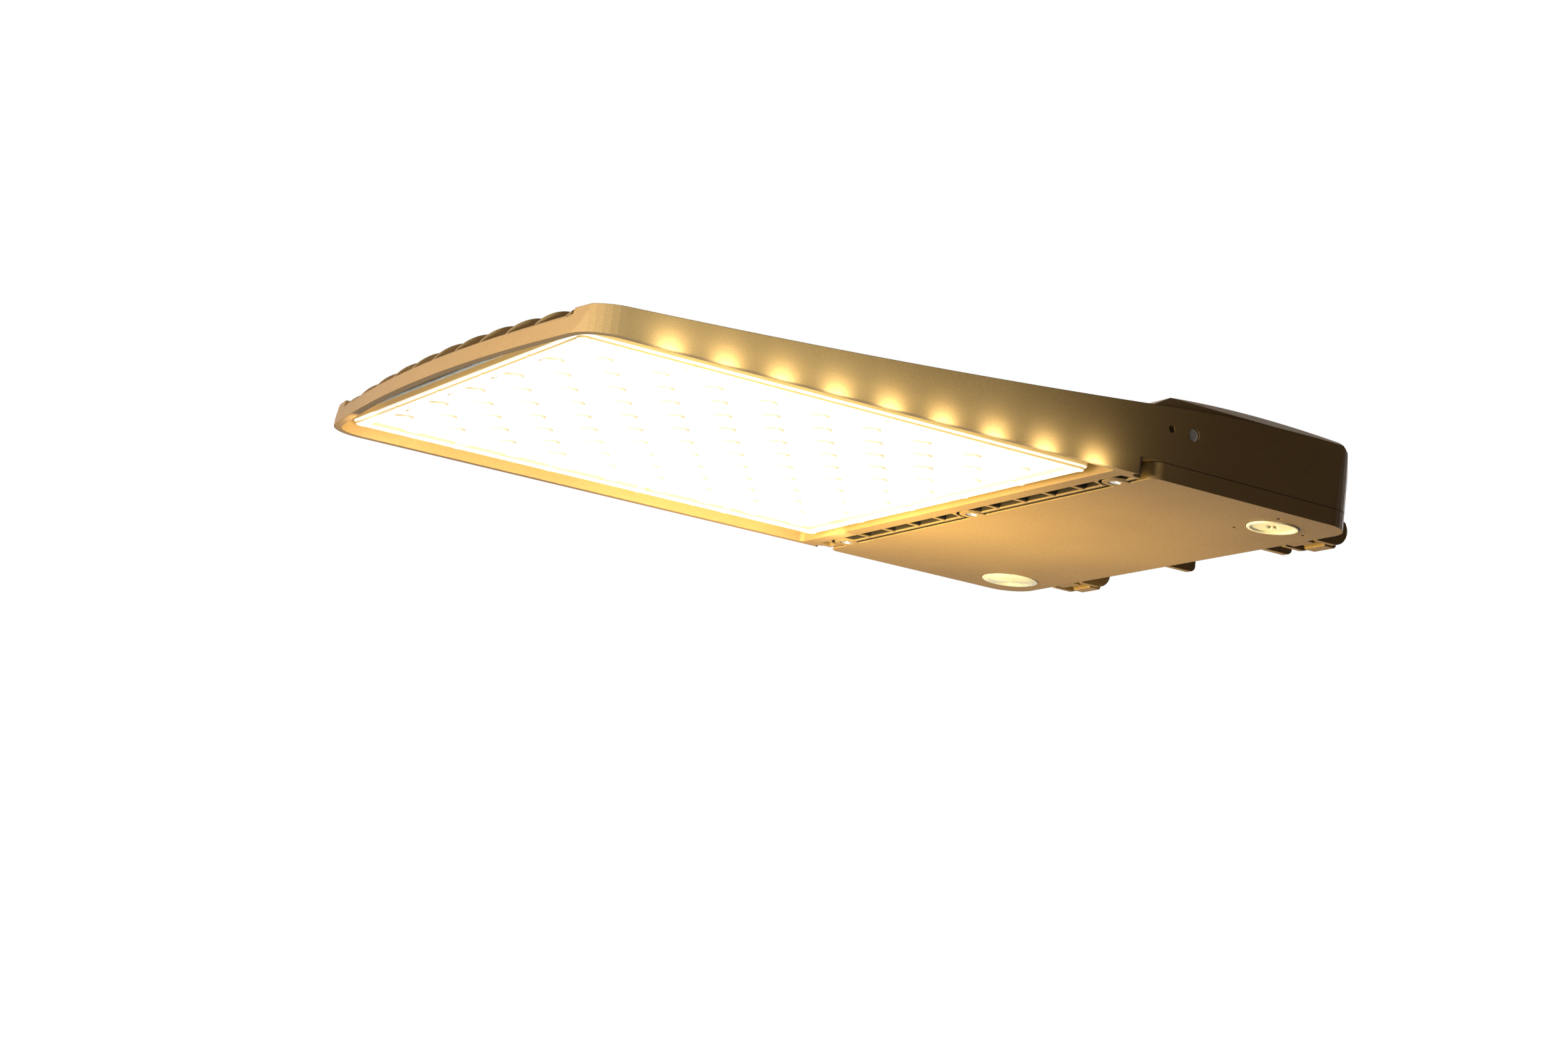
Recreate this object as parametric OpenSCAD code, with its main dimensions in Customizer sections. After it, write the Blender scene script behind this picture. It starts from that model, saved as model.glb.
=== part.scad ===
// Shoebox area light: a flat die-cast pole light that shines straight down.
// One casting carries a finned LED tray in front and a driver box behind it.
// A tray-shaped door hinges down at the rear of the box, held shut by three captive screws.
// The origin lies on the face that the pole arm bolts to, +X points back to the pole,
// +Z points up, and the light leaves towards -Z.

/* [Housing] */
// Width across the side walls
body_w = 380; // [370:2:400]
// From the line of the door screws forward to the nose
nose_len = 395; // [388:1:410]
// From the line of the door screws back to the rear wall
box_len = 165.6; // [162:1:175]
// Radius of the curved nose, seen from below
nose_r = 1200; // [900:50:2000]
// Radius of the two front corners
front_corner_r = 25; // [20:1:32]
// Radius of the two rear corners
rear_corner_r = 22; // [16:1:28]
// Thickness of the side walls
wall_t = 6; // [5:0.5:7]
// Thickness of the driver box roof
roof_t = 3.5; // [3:0.25:5]
// Draft of the side walls, in degrees
side_draft = 1.5; // [0.5:0.25:2.5]
// Lean of the rear wall, in degrees
rear_lean = 14; // [8:1:16]
// Height of the side rail at the nose
rail_nose_h = 17.4; // [16:0.2:20]
// Height of the side rail where the driver box starts
rail_box_h = 46; // [44:0.5:48]
// Greatest height of the side rail, over the driver box
rail_peak_h = 53; // [51:0.5:55]
// Greatest height of the raised roof panel
roof_peak_h = 58.4; // [57:0.2:62]
// Angle of the bevel round the raised roof panel, in degrees
roof_bevel = 40; // [30:1:50]

/* [LED tray] */
// Depth of the recess that holds the lens
recess_h = 10; // [9:0.5:12]
// Thickness of the tray plate above the recess
tray_t = 4; // [3:0.5:5]
// Width of the lip round the recess
lip_w = 5; // [4:0.5:6]
// Height of the bright band along the nose
nose_band_h = 11.5; // [10:0.5:13]
// How far that band leans back over its height
nose_lean = 3; // [1:0.5:4]
// Number of cooling fins, an odd number
fin_count = 11; // [7:2:11]
// Distance from fin to fin
fin_pitch = 31.5; // [29:0.5:32]
// Thickness of a fin
fin_t = 2.4; // [2:0.2:3.5]
// How far the outer fins stand above the side rail at the nose
fin_over = 5; // [3:0.5:6]
// How much higher the middle fin stands at the nose
fin_crown = 6.5; // [3:0.5:8]
// Diameter of the round stud on each front corner
stud_d = 8; // [6:0.5:10]
// Height of that stud
stud_h = 3.2; // [2:0.2:4]

/* [Lens] */
// From the line of the door screws forward to the lens
lens_rear_gap = 24; // [22:0.5:28]
// Distance from the side of the light to the lens
lens_side_gap = 25; // [22:0.5:28]
// Height of the lens side wall
lens_h = 7; // [6:0.5:7.5]
// Thickness of the lens plate
lens_plate_t = 2; // [1.6:0.2:2.4]
// Width of the solid rim of the lens
lens_rim_w = 9; // [8:0.5:10]
// Corner radius of the lens
lens_corner_r = 6; // [3:0.5:8]
// Gap between the lens and the front of its recess
lens_front_gap = 16; // [14:0.5:18]
// Radius of the dome over an LED
dome_r = 7; // [6:0.25:7.5]
// How far a dome stands out of the lens plate
dome_h = 2.8; // [2:0.2:3]
// Lens screws along each edge, corners included
lens_screws = 6; // [4:1:6]
// Diameter of a lens screw
lens_screw_d = 4; // [3:0.5:4]
// Diameter of a lens screw's head
lens_head_d = 7; // [6:0.5:7.5]
// Height of a lens screw's head
lens_head_h = 2.4; // [2:0.2:3]
// Thickness of the gasket under the lens
lens_gasket_t = 1.5; // [1:0.25:2]

/* [LEDs] */
// Distance from row to row
led_row_pitch = 18.2; // [17.4:0.2:18.4]
// Distance from LED to LED in a row
led_col_pitch = 54; // [50:1:54]
// Side of an LED package
led_side = 3.5; // [3:0.25:5]
// Height of an LED package
led_h = 0.7; // [0.5:0.1:0.8]
// Thickness of a circuit board
board_t = 1.6; // [1:0.2:1.6]

/* [Vents] */
// Width of the air slot between the tray and the driver box
slot_w = 13; // [11:0.5:14]
// Thickness of the web that the vent windows are cut in
web_t = 4; // [3:0.5:5]
// Length of a vent window, front to back
window_l = 9; // [7:0.5:9.5]
// Thickness of the ribs between the windows
vent_rib_t = 3; // [2.4:0.2:4]

/* [Door] */
// Height of the door's side wall
door_h = 10.9; // [10:0.3:12]
// Thickness of the door's plate
door_plate_t = 3; // [2.4:0.2:3.4]
// Thickness of the door's side wall
door_wall_t = 2.2; // [1.8:0.2:2.6]
// Gap at the seam between the door and the housing
seam_gap = 0.4; // [0.3:0.1:0.8]
// Gap between the door and the vent web
groove_w = 4; // [3:0.5:5]
// Front edge of the door, behind the line of its screws
door_front_x = 5; // [4:0.5:6]
// Radius of the ears that hold the door screws
ear_r = 8.5; // [8:0.5:9.5]
// Thickness of the ears
ear_t = 5.5; // [5:0.25:6]
// Distance from the middle door screw to the outer ones
door_screw_y = 158; // [150:1:160]
// Radius of the door's front corners
door_corner_r = 7; // [5:0.5:9]
// Length of the notch in front of the door's side wall
notch_l = 7.6; // [6:0.2:9]
// Height of the door gasket
door_gasket_t = 3.5; // [2.5:0.25:4]

/* [Door screws] */
// Diameter of a door screw
door_screw_d = 5; // [4:0.5:5.5]
// Diameter of a door screw's head
door_head_d = 8; // [7.5:0.25:9]
// Height of a door screw's head
door_head_h = 3; // [2.5:0.25:3.5]
// How deep a door screw reaches into the housing
door_screw_grip = 7; // [6:0.5:8]
// How far a door screw backs out before its clip stops it
door_screw_travel = 7.5; // [7:0.5:9]
// Gap round a door screw in its hole in the housing
door_screw_gap = 0.4; // [0.35:0.05:0.6]
// Diameter of the boss round that hole
screw_boss_d = 13; // [12:0.5:14]

/* [Hinge] */
// Distance from the middle to the centre of each hinge
hinge_y = 129; // [122:1:134]
// Distance between the outer faces of a hinge's two lugs
hinge_w = 36; // [32:1:48]
// Thickness of a hinge lug
lug_t = 4; // [3:0.5:5]
// Outer radius of a hinge lug
lug_r = 9.8; // [9:0.2:10.2]
// Outer radius of the door's knuckle
knuckle_r = 8; // [7:0.25:8.5]
// Gap between a knuckle and each lug
knuckle_gap = 4; // [1:0.5:5]
// Diameter of a hinge pin
pin_d = 5; // [4:0.5:6]
// Running clearance round a hinge pin
pin_fit = 0.05; // [0.02:0.01:0.09]
// Hinge axis, behind the rear wall
pin_back = 17.4; // [16.6:0.2:19]
// Hinge axis, above the underside
pin_z = 10.5; // [10.2:0.1:11]
// Gap between a lug and the door's rear wall as it swings
swing_gap = 0.6; // [0.4:0.1:1]

/* [Arm mount] */
// Distance between the two mounting bolts
arm_bolt_pitch = 70; // [60:1:76]
// Diameter of a mounting bolt hole
arm_bolt_hole_d = 11; // [9:0.5:13]
// Thickness of the wall that the bolts pass through
arm_wall_t = 14; // [12:0.5:16]
// Distance from the middle to the centre of each cheek
cheek_y = 53; // [52:0.5:58]
// Thickness of a cheek
cheek_t = 5; // [4:0.5:6]
// How far the cheeks reach behind the arm face
cheek_len = 54; // [45:1:60]
// Height of the cheeks' lower edge
cheek_bottom_z = 12.2; // [12:0.2:15]
// Height of the cheeks' upper edge
cheek_top_z = 46; // [44:0.5:48]
// Thickness of the web across the cheeks
saddle_t = 5; // [4:0.5:6]
// Diameter of the hole for the supply wires
wire_hole_d = 22; // [18:1:24]
// Diameter of the opening in the rubber grommet
grommet_bore_d = 12; // [8:0.5:14]

/* [Side mount] */
// Diameter of the tapped hole in each side wall
side_tap_d = 8; // [6:0.5:8]
// Depth of that hole
side_tap_depth = 14; // [10:1:16]
// Tapped hole, behind the line of the door screws
side_tap_x = 32.8; // [30:0.5:36]
// Height of the side holes above the underside
side_tap_z = 33.1; // [31:0.2:35]
// Distance from the tapped hole forward to the locating hole
locate_pitch = 17.1; // [15:0.5:19]
// Diameter of the locating hole
locate_d = 4.4; // [4:0.2:5]
// Depth of the locating hole
locate_depth = 5; // [3:0.5:6]

/* [Plug and sensor] */
// Plug and sensor window, distance from the side of the light
port_side = 38.5; // [38:0.5:42]
// Plug, ahead of the rear wall
plug_back = 37.1; // [34.6:0.5:41.6]
// Diameter of the plug's flange
plug_d = 33; // [31:0.5:34]
// Diameter of the plug's shank
plug_shank_d = 24; // [22:0.5:26]
// Height of the plug's flange below the door
plug_flange_h = 1.6; // [1.2:0.2:2]
// Thickness of the plug's lock nut
plug_nut_t = 5; // [4:0.5:6]
// Distance from the plug's centre to the pilot holes
pilot_r = 25.4; // [24:0.2:26]
// Diameter of the pilot holes
pilot_d = 3; // [2.5:0.1:3.5]
// Sensor window, ahead of the rear wall
sensor_back = 31.1; // [29.6:0.5:35.6]
// Diameter of the sensor window
sensor_d = 40; // [36:0.5:42]
// Height of the sensor window below the door
sensor_dome_h = 2.5; // [1.6:0.1:3]

/* [Driver box] */
// Length of the LED driver, across the light
driver_l = 236; // [220:2:244]
// Width of the LED driver
driver_w = 62; // [56:1:66]
// Height of the LED driver
driver_h = 30; // [26:0.5:31]
// Distance from the middle to the driver's centre
driver_y = -24; // [-30:1:-10]
// Diameter of the screws that hold the driver
driver_screw_d = 4; // [3:0.5:5]
// Length of the surge protector
surge_l = 58; // [50:1:64]
// Width of the surge protector
surge_w = 30; // [26:1:32]
// Height of the surge protector
surge_h = 22; // [18:1:26]
// Length of the terminal block
block_l = 46; // [40:1:52]
// Width of the terminal block
block_w = 20; // [16:1:22]
// Height of the terminal block
block_h = 17; // [14:1:20]
// Diameter of the wires
wire_d = 3; // [2.4:0.2:3.6]

/* [Hidden] */

$fn = 48;
eps = 0.01;
curve_steps = 24;

// Colours of the finishes
bronze = "#4a3524";
bronze_door = "#5a4228";
clear = "#f6efd8";
steel = "#b9bbbd";
cream = "#efe2b4";
rubber = "#2b2b2b";

// Places along X, counted from the line of the door screws
nose_x = -nose_len;
half_w = body_w / 2;
nose_cx = nose_x + nose_r;
arm_face_x = box_len + 2.4;
slot_rear_x = -1;
slot_front_x = slot_rear_x - slot_w;
box_front_x = door_front_x;
lens_front_x = nose_x + lip_w + lens_front_gap;
lens_rear_x = -lens_rear_gap;
lens_l = lens_rear_x - lens_front_x;
lens_w = body_w - 2 * lens_side_gap;
recess_rear_x = lens_rear_x + 4;
lens_mid_x = (lens_front_x + lens_rear_x) / 2;
pin_x = box_len + pin_back;
box_wall_x = box_front_x - 1;
box_inner_x = box_front_x + wall_t;
plug_x = box_len - plug_back;
sensor_x = box_len - sensor_back;
port_y = half_w - port_side;

// As many LEDs as the lens has room for, with as many rows on one board as on the other
led_rows = 2 * floor(((lens_l - 2 * lens_rim_w - 2 * dome_r) / led_row_pitch + 1) / 2);
led_cols = floor((lens_w - 2 * lens_rim_w - 2 * dome_r) / led_col_pitch + 0.5);

// Heights above the underside
tray_top_z = recess_h + tray_t;
door_top_z = door_h;
seam_z = door_h + seam_gap;
arm_face_z = (cheek_bottom_z + cheek_top_z) / 2;
lens_z = recess_h - lens_gasket_t - lens_h;
plate_z = lens_z + dome_h + 0.2;
board_z = recess_h - board_t;
led_z = board_z - led_h;
clip_t = 1;
clip_z = ear_t + door_screw_travel;
screw_boss_z = clip_z + clip_t + 0.5;

// The housing's height along its sides. Ahead of the box it is a parabola, and over the box another.
rail_start_x = nose_x + 35;
rail_slope = 0.052;
rail_run = box_front_x - rail_start_x;
rail_bend = (rail_box_h - rail_nose_h - rail_slope * rail_run) / (rail_run * rail_run);
rail_peak_x = box_len * 0.8;
box_bend = (rail_peak_h - rail_box_h) / pow(rail_peak_x - box_front_x, 2);
function rail_z(x) = x < box_front_x
    ? rail_nose_h + rail_slope * (x - rail_start_x)
        + rail_bend * (x - rail_start_x) * abs(x - rail_start_x)
    : rail_peak_h - box_bend * pow(x - rail_peak_x, 2);

// The raised roof panel's height
roof_front_x = slot_rear_x;
roof_peak_x = box_len * 0.56;
roof_step_x = 14;
roof_bend = 0.00088;
function roof_z(x) = roof_peak_h - roof_bend * pow(x - roof_peak_x, 2);

// Front edge of the plan at a distance y from the middle
function nose_front_x(y) = nose_cx - sqrt(nose_r * nose_r - y * y);

// Points on an arc
function arc(cx, cy, r, a0, a1, n) = [
    for (i = [0 : n]) let (a = a0 + (a1 - a0) * i / n) [cx + r * cos(a), cy + r * sin(a)]
];

// Moves the whole light so that the arm face's centre is the origin
module from_arm_face() {
    translate([-arm_face_x, 0, -arm_face_z]) children();
}

// Extrudes a side view, drawn in X and Z, to both sides of the middle
module across(width, y = 0) {
    translate([0, y + width / 2, 0]) rotate([90, 0, 0]) linear_extrude(width) children();
}

// Extrudes a front view, drawn in Y and Z, along X
module along(x0, x1) {
    translate([x0, 0, 0]) rotate([90, 0, 90]) linear_extrude(x1 - x0) children();
}

module mirrored() {
    children();
    mirror([0, 1, 0]) children();
}

// Plan of the whole light, drawn in by inset, from the curved nose back to x1
module plan(inset = 0, x1 = box_len, rear_r = rear_corner_r) {
    w = half_w - inset;
    r = max(front_corner_r - inset, 1);
    cy = w - r;
    big = nose_r - inset;
    cx = nose_cx - sqrt(pow(big - r, 2) - cy * cy);
    lean = asin(cy / (big - r));
    rr = max(rear_r, 0.5);
    polygon(concat(
        arc(nose_cx, 0, big, 180 + lean, 180 - lean, curve_steps),
        arc(cx, cy, r, 180 - lean, 90, 8),
        arc(x1 - rr, w - rr, rr, 90, 0, 8),
        arc(x1 - rr, -w + rr, rr, 0, -90, 8),
        arc(cx, -cy, r, -90, -180 + lean, 8)
    ));
}

// A rectangle with four round corners
module rounded_rect(x0, x1, w, r) {
    polygon(concat(
        arc(x0 + r, -w / 2 + r, r, 180, 270, 6),
        arc(x1 - r, -w / 2 + r, r, 270, 360, 6),
        arc(x1 - r, w / 2 - r, r, 0, 90, 6),
        arc(x0 + r, w / 2 - r, r, 90, 180, 6)
    ));
}

// Side view of the housing with its curved top, from x0 to x1 and up from z0
module rail_side(x0, x1, z0) {
    n = curve_steps;
    polygon(concat(
        [[x0, z0]],
        [for (i = [0 : n]) let (x = x0 + (x1 - x0) * i / n) [x, rail_z(x)]],
        [[x1, z0]]
    ));
}

// Side view of the box, whose rear wall leans forward and is rounded at the top
module box_side(x0, z0, top_drop, rear_inset) {
    n = curve_steps;
    x1 = box_len - rear_inset;
    lean_x = (rail_z(x1) - seam_z) * tan(rear_lean);
    turn = 6;
    polygon(concat(
        [[x0, z0]],
        [for (i = [0 : n]) let (x = x0 + (x1 - lean_x - turn - x0) * i / n) [x, rail_z(x) - top_drop]],
        [[x1 - lean_x, rail_z(x1) - top_drop - turn / 2], [x1, seam_z], [x1, z0]]
    ));
}

module side_draft_block(x0, x1) {
    top = half_w - (roof_peak_h - seam_z) * tan(side_draft);
    along(x0, x1) polygon([[-half_w, -1], [half_w, -1], [half_w, seam_z], [top, roof_peak_h],
        [-top, roof_peak_h], [-half_w, seam_z]]);
}

module tray_shell() {
    difference() {
        intersection() {
            across(body_w) rail_side(nose_x, box_inner_x, 0);
            linear_extrude(roof_peak_h) plan(0, box_len);
            side_draft_block(nose_x - 1, box_len);
            nose_cone();
        }
        translate([0, 0, -1]) linear_extrude(recess_h + 1) plan(lip_w, recess_rear_x, 3);
        fin_bay();
        nose_bay();
        slot_cut();
    }
}

// Leans the whole nose back as it rises
module nose_cone() {
    high = 100;
    translate([nose_cx, 0, 0])
        cylinder(r1 = nose_r, r2 = nose_r - nose_lean * high / nose_band_h, h = high, $fn = 360);
}

// Open space between the rails, above the tray plate
module fin_bay() {
    inner = half_w - wall_t - 1;
    translate([fin_bay_front_x, -inner, tray_top_z]) cube([slot_front_x - fin_bay_front_x + eps, 2 * inner, 90]);
}

fin_bay_front_x = nose_x + 50;
corner_block_y = (fin_count - 1) / 2 * fin_pitch + 8;

// The bay runs out through the nose between the two corner blocks
module nose_bay() {
    translate([nose_x - 10, -corner_block_y, nose_band_h])
        cube([fin_bay_front_x - nose_x + 11, 2 * corner_block_y, 90]);
}

module slot_cut() {
    inner = half_w - wall_t - 1;
    translate([slot_front_x, -inner, web_t]) cube([box_wall_x - slot_front_x, 2 * inner, 90]);
    translate([slot_rear_x, -half_w - 1, -1]) cube([box_inner_x + 1 - slot_rear_x, body_w + 2, seam_z + 1]);
}

// The nose band's top is a narrow ledge. The fins start on it, and then the plate between them, which
// rises to the tray's full height.
nose_ledge = 0.5;
module nose_ramp() {
    intersection() {
        across(2 * corner_block_y + 1) polygon([[nose_x, recess_h + nose_ledge], [nose_x, nose_band_h],
            [nose_x + 25, tray_top_z], [fin_bay_front_x + 1, tray_top_z],
            [fin_bay_front_x + 1, recess_h + nose_ledge]]);
        linear_extrude(roof_peak_h) plan(nose_lean + 3 * nose_ledge, box_len);
    }
}

// One fin, seen from the side. Its front edge rises in an arc from the nose band.
fin_rear_over = 4;
fin_rear_x = slot_front_x;
function fin_top(x, over) = rail_z(x)
    + over + (fin_rear_over - over) * (x - nose_x) / (fin_rear_x - nose_x);

module fin_side(y) {
    x0 = nose_front_x(y) + nose_lean + nose_ledge;
    over = fin_over + fin_crown * (1 - pow(y / corner_block_y, 2));
    rise = fin_top(x0 + 24, over) - nose_band_h;
    r = rise / (sin(98) - sin(150));
    cx = x0 - r * cos(150);
    cz = nose_band_h - r * sin(150);
    front = arc(cx, cz, r, 150, 98, 10);
    x1 = front[10][0];
    step = front[10][1] - fin_top(x1, over);
    n = curve_steps;
    polygon(concat(
        [[x0, recess_h + 1]],
        front,
        [for (i = [1 : n]) let (x = x1 + (fin_rear_x - 6 - x1) * i / n)
            [x, fin_top(x, over) + step * (1 - i / n)]],
        [[fin_rear_x, fin_top(fin_rear_x, over) - 8], [fin_rear_x, recess_h + 1]]
    ));
}

module fins() {
    middle = (fin_count - 1) / 2;
    for (i = [-middle : middle])
        across(fin_t, i * fin_pitch) fin_side(i * fin_pitch);
}

module box_shell() {
    difference() {
        union() {
            intersection() {
                across(body_w) box_side(box_wall_x, seam_z, 0, 0);
                linear_extrude(roof_peak_h + 1) plan(0, box_len);
                side_draft_block(box_wall_x, box_len + 1);
            }
            roof_panel();
        }
        // the room inside
        intersection() {
            across(body_w - 2 * wall_t) box_side(box_inner_x, seam_z - 1, roof_t, wall_t);
            translate([0, 0, -1]) linear_extrude(roof_peak_h)
                rounded_rect(box_inner_x, box_len - wall_t, body_w - 2 * wall_t, rear_corner_r - wall_t);
        }
        roof_hollow();
    }
}

// Where the raised roof panel ends at the back, and half its width along its bevel's top and foot
panel_rear_x = box_len - (roof_z(box_len) - seam_z) * tan(rear_lean) - 1;
panel_foot_y = half_w - 3;
panel_top_y = panel_foot_y - (roof_peak_h - rail_peak_h) / tan(roof_bevel);

// The room goes on up into the raised roof panel
module roof_hollow() {
    n = curve_steps;
    x0 = roof_step_x + roof_t;
    x1 = panel_rear_x - wall_t - 3;
    low_z = rail_box_h - roof_t - 2;
    across(2 * (panel_top_y - roof_t)) polygon(concat(
        [[x0, low_z]],
        [for (i = [0 : n]) let (x = x0 + (x1 - x0) * i / n) [x, roof_z(x) - roof_t]],
        [[x1, low_z]]
    ));
}

module roof_panel() {
    n = curve_steps;
    x1 = panel_rear_x;
    low_z = rail_peak_h - 10;
    low = panel_foot_y + 10 / tan(roof_bevel);
    intersection() {
        across(body_w) polygon(concat(
            [[roof_front_x, rail_box_h - 6], [roof_front_x, rail_z(roof_front_x) - 1]],
            [for (i = [0 : n]) let (x = roof_step_x + (x1 - 4 - roof_step_x) * i / n) [x, roof_z(x)]],
            [[x1, roof_z(x1) - 3], [x1, rail_box_h - 6]]
        ));
        along(roof_front_x, box_len) polygon([[-low, low_z], [low, low_z], [panel_top_y, roof_peak_h],
            [-panel_top_y, roof_peak_h]]);
        linear_extrude(roof_peak_h) plan(3, box_len, rear_corner_r - 3);
        side_draft_block(roof_front_x, box_len + 1);
    }
}

// Ribs that bridge the air slot between the vent windows
vent_rib_top_z = rail_box_h - 8;
module vent_ribs() {
    x0 = slot_front_x - 2;
    x1 = box_wall_x + 1;
    step_x = door_front_x - groove_w;
    for (i = [1 : 4])
        mirrored() across(vent_rib_t, i * fin_pitch) polygon([[x0, web_t - 1], [step_x, web_t - 1],
            [step_x, seam_z + 1], [x1, seam_z + 1], [x1, vent_rib_top_z], [x0, vent_rib_top_z]]);
}

// The plate at the bottom of the slot, in front of the door
module vent_web() {
    web_y = half_w - wall_t + 1;
    x0 = recess_rear_x - eps;
    translate([x0, -web_y, 0]) cube([door_front_x - groove_w - x0, 2 * web_y, web_t]);
}

// Round notches in that plate for the door's ears
module ear_notches() {
    for (s = [-1, 0, 1])
        translate([0, s * door_screw_y, -1]) cylinder(r = ear_r + 2, h = web_t + 2);
}

// A vent window from y0 to y1, slanted towards the ear of a door screw
module vent_window(y0, y1, slant0, slant1) {
    x1 = slot_rear_x;
    x0 = x1 - window_l;
    translate([0, 0, -1]) linear_extrude(web_t + 2)
        polygon([[x0, y0 + slant0], [x1, y0], [x1, y1], [x0, y1 - slant1]]);
}

ear_clear = ear_r + 4;
module vent_windows() {
    half_rib = vent_rib_t / 2;
    inner_end = door_screw_y - ear_clear;
    outer_end = half_w - notch_depth - 3;
    mirrored() {
        vent_window(ear_clear, fin_pitch - half_rib, -3, 0);
        for (i = [1 : 3]) vent_window(i * fin_pitch + half_rib, (i + 1) * fin_pitch - half_rib, 0, 0);
        vent_window(4 * fin_pitch + half_rib, inner_end, 0, -3);
        vent_window(door_screw_y + ear_clear, outer_end, -3, 2);
    }
}

module screw_bosses() {
    for (s = [-1, 0, 1])
        translate([0, s * door_screw_y, screw_boss_z]) {
            cylinder(d = screw_boss_d, h = vent_rib_top_z - screw_boss_z);
            translate([slot_front_x - 2, -vent_rib_t / 2, 0])
                cube([box_inner_x - slot_front_x, vent_rib_t, vent_rib_top_z - screw_boss_z]);
        }
}

module screw_boss_holes() {
    for (s = [-1, 0, 1]) translate([0, s * door_screw_y, screw_boss_z]) {
        translate([0, 0, -1]) cylinder(r = door_screw_d / 2 + door_screw_gap, h = door_screw_grip + 3);
        translate([0, 0, -screw_boss_z + seam_z - 1])
            cylinder(d = screw_boss_d - 1, h = screw_boss_z - seam_z + 1);
    }
}

// A covered passage for the LED lead, from the tray to the driver box
duct_y = 1.5 * fin_pitch;
duct_w = 14;
duct_h = 12;
duct_len = 46;
duct_z = tray_top_z + 4;
duct_bore_d = 7;
duct_front_x = slot_front_x - duct_len;
module lead_duct() {
    translate([duct_front_x, duct_y - duct_w / 2, recess_h + 1])
        cube([box_front_x + 1 - duct_front_x, duct_w, duct_h]);
}

module lead_duct_bore() {
    translate([duct_front_x + 6, duct_y, duct_z]) rotate([0, 90, 0])
        cylinder(d = duct_bore_d, h = box_inner_x + 1 - duct_front_x - 6);
    translate([duct_front_x + 6 + duct_bore_d / 2, duct_y, board_z])
        cylinder(d = duct_bore_d, h = duct_z - board_z);
}

// The thick wall that the arm bolts to, and the two cheeks and the web beside it
module arm_mount() {
    pad_w = 2 * cheek_y;
    wall_x = arm_face_x - arm_wall_t;
    translate([wall_x, -pad_w / 2, cheek_bottom_z])
        cube([arm_wall_t, pad_w, cheek_top_z - cheek_bottom_z]);
    mirrored() across(cheek_t, cheek_y) cheek_side(wall_x);
    translate([wall_x, -cheek_y, cheek_top_z - saddle_t])
        cube([arm_face_x + cheek_len - 2 - wall_x, 2 * cheek_y, saddle_t]);
}

module cheek_side(x0) {
    x1 = arm_face_x + cheek_len;
    r = 4;
    top = cheek_top_z;
    polygon(concat(
        [[x0, top], [x0, cheek_bottom_z]],
        arc(x1 - r, cheek_bottom_z + r, r, 270, 360, 6),
        arc(x1 - r, top - r, r, 0, 90, 6)
    ));
}

module arm_holes() {
    for (s = [-1, 1])
        translate([arm_face_x + 1, s * arm_bolt_pitch / 2, arm_face_z]) rotate([0, -90, 0])
            cylinder(d = arm_bolt_hole_d, h = arm_wall_t + 2);
    translate([arm_face_x + 1, 0, arm_face_z]) rotate([0, -90, 0])
        cylinder(d = wire_hole_d, h = arm_wall_t + 2);
    // the seat of the grommet's lip
    translate([arm_face_x - arm_wall_t, 0, arm_face_z]) rotate([0, -90, 0])
        cylinder(d = wire_hole_d + 2 * grommet_lip_w + 0.6, h = wall_t);
}

grommet_lip_w = 3;

// Two lugs for each hinge, behind the rear wall. Their front edge is an arc that the door's rear wall
// swings past, and their lower edge is flat.
function lug_centres() = [-hinge_w / 2 + lug_t / 2, hinge_w / 2 - lug_t / 2];
module hinge_lugs() {
    root_x = box_len - 3;
    reach = pin_back - swing_gap;
    for (s = [-1, 1], dy = lug_centres())
        across(lug_t, s * hinge_y + dy) polygon(concat(
            [[root_x - 5, pin_z + 16], [root_x, seam_z], [box_len + swing_gap, seam_z]],
            arc(pin_x, pin_z, reach, 178, 180 + asin(lug_r / reach), 6),
            arc(pin_x, pin_z, lug_r, 270, 400, 12)
        ));
}

module hinge_bores() {
    for (s = [-1, 1])
        translate([pin_x, s * hinge_y - hinge_w / 2 - 1, pin_z]) rotate([-90, 0, 0])
            cylinder(r = pin_d / 2 + pin_fit, h = hinge_w + 2);
}

// Relief notches in the sides, in front of the door's rounded corners
notch_depth = door_corner_r + 1;
module side_notches() {
    mirrored() translate([0, half_w - notch_depth, -1]) {
        translate([-notch_l + 3, 0, 0]) cube([notch_l + door_front_x, notch_depth + 1, seam_z + 1]);
        translate([-notch_l + 3, notch_depth - 3, 0]) cylinder(r = 3, h = seam_z + 1);
    }
}

module side_holes() {
    mirrored() translate([side_tap_x, half_w + 1, side_tap_z]) rotate([90, 0, 0]) {
        cylinder(d = side_tap_d, h = side_tap_depth + 1);
        translate([-locate_pitch, 0, 0]) cylinder(d = locate_d, h = locate_depth + 1);
    }
}

module side_hole_bosses() {
    mirrored() translate([side_tap_x, half_w - 2, side_tap_z]) rotate([90, 0, 0])
        cylinder(d = side_tap_d + 8, h = side_tap_depth + 1);
}

// A round stud on each front corner, on which the light stands while it is assembled
stud_x = nose_x + 37;
stud_y = half_w - 20;
module corner_studs() {
    mirrored() translate([stud_x, stud_y, rail_nose_h - 4]) {
        cylinder(d = stud_d, h = 4 + stud_h);
        translate([0, 0, 4 + stud_h]) cylinder(d1 = stud_d, d2 = stud_d * 0.6, h = 1);
    }
}

// Posts inside the box that the driver, surge protector, terminal block and earth screw sit on
post_d = 9;
module post(x, y, z) {
    translate([x, y, z]) cylinder(d = post_d, h = roof_z(x) - roof_t / 2 - z);
}

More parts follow.
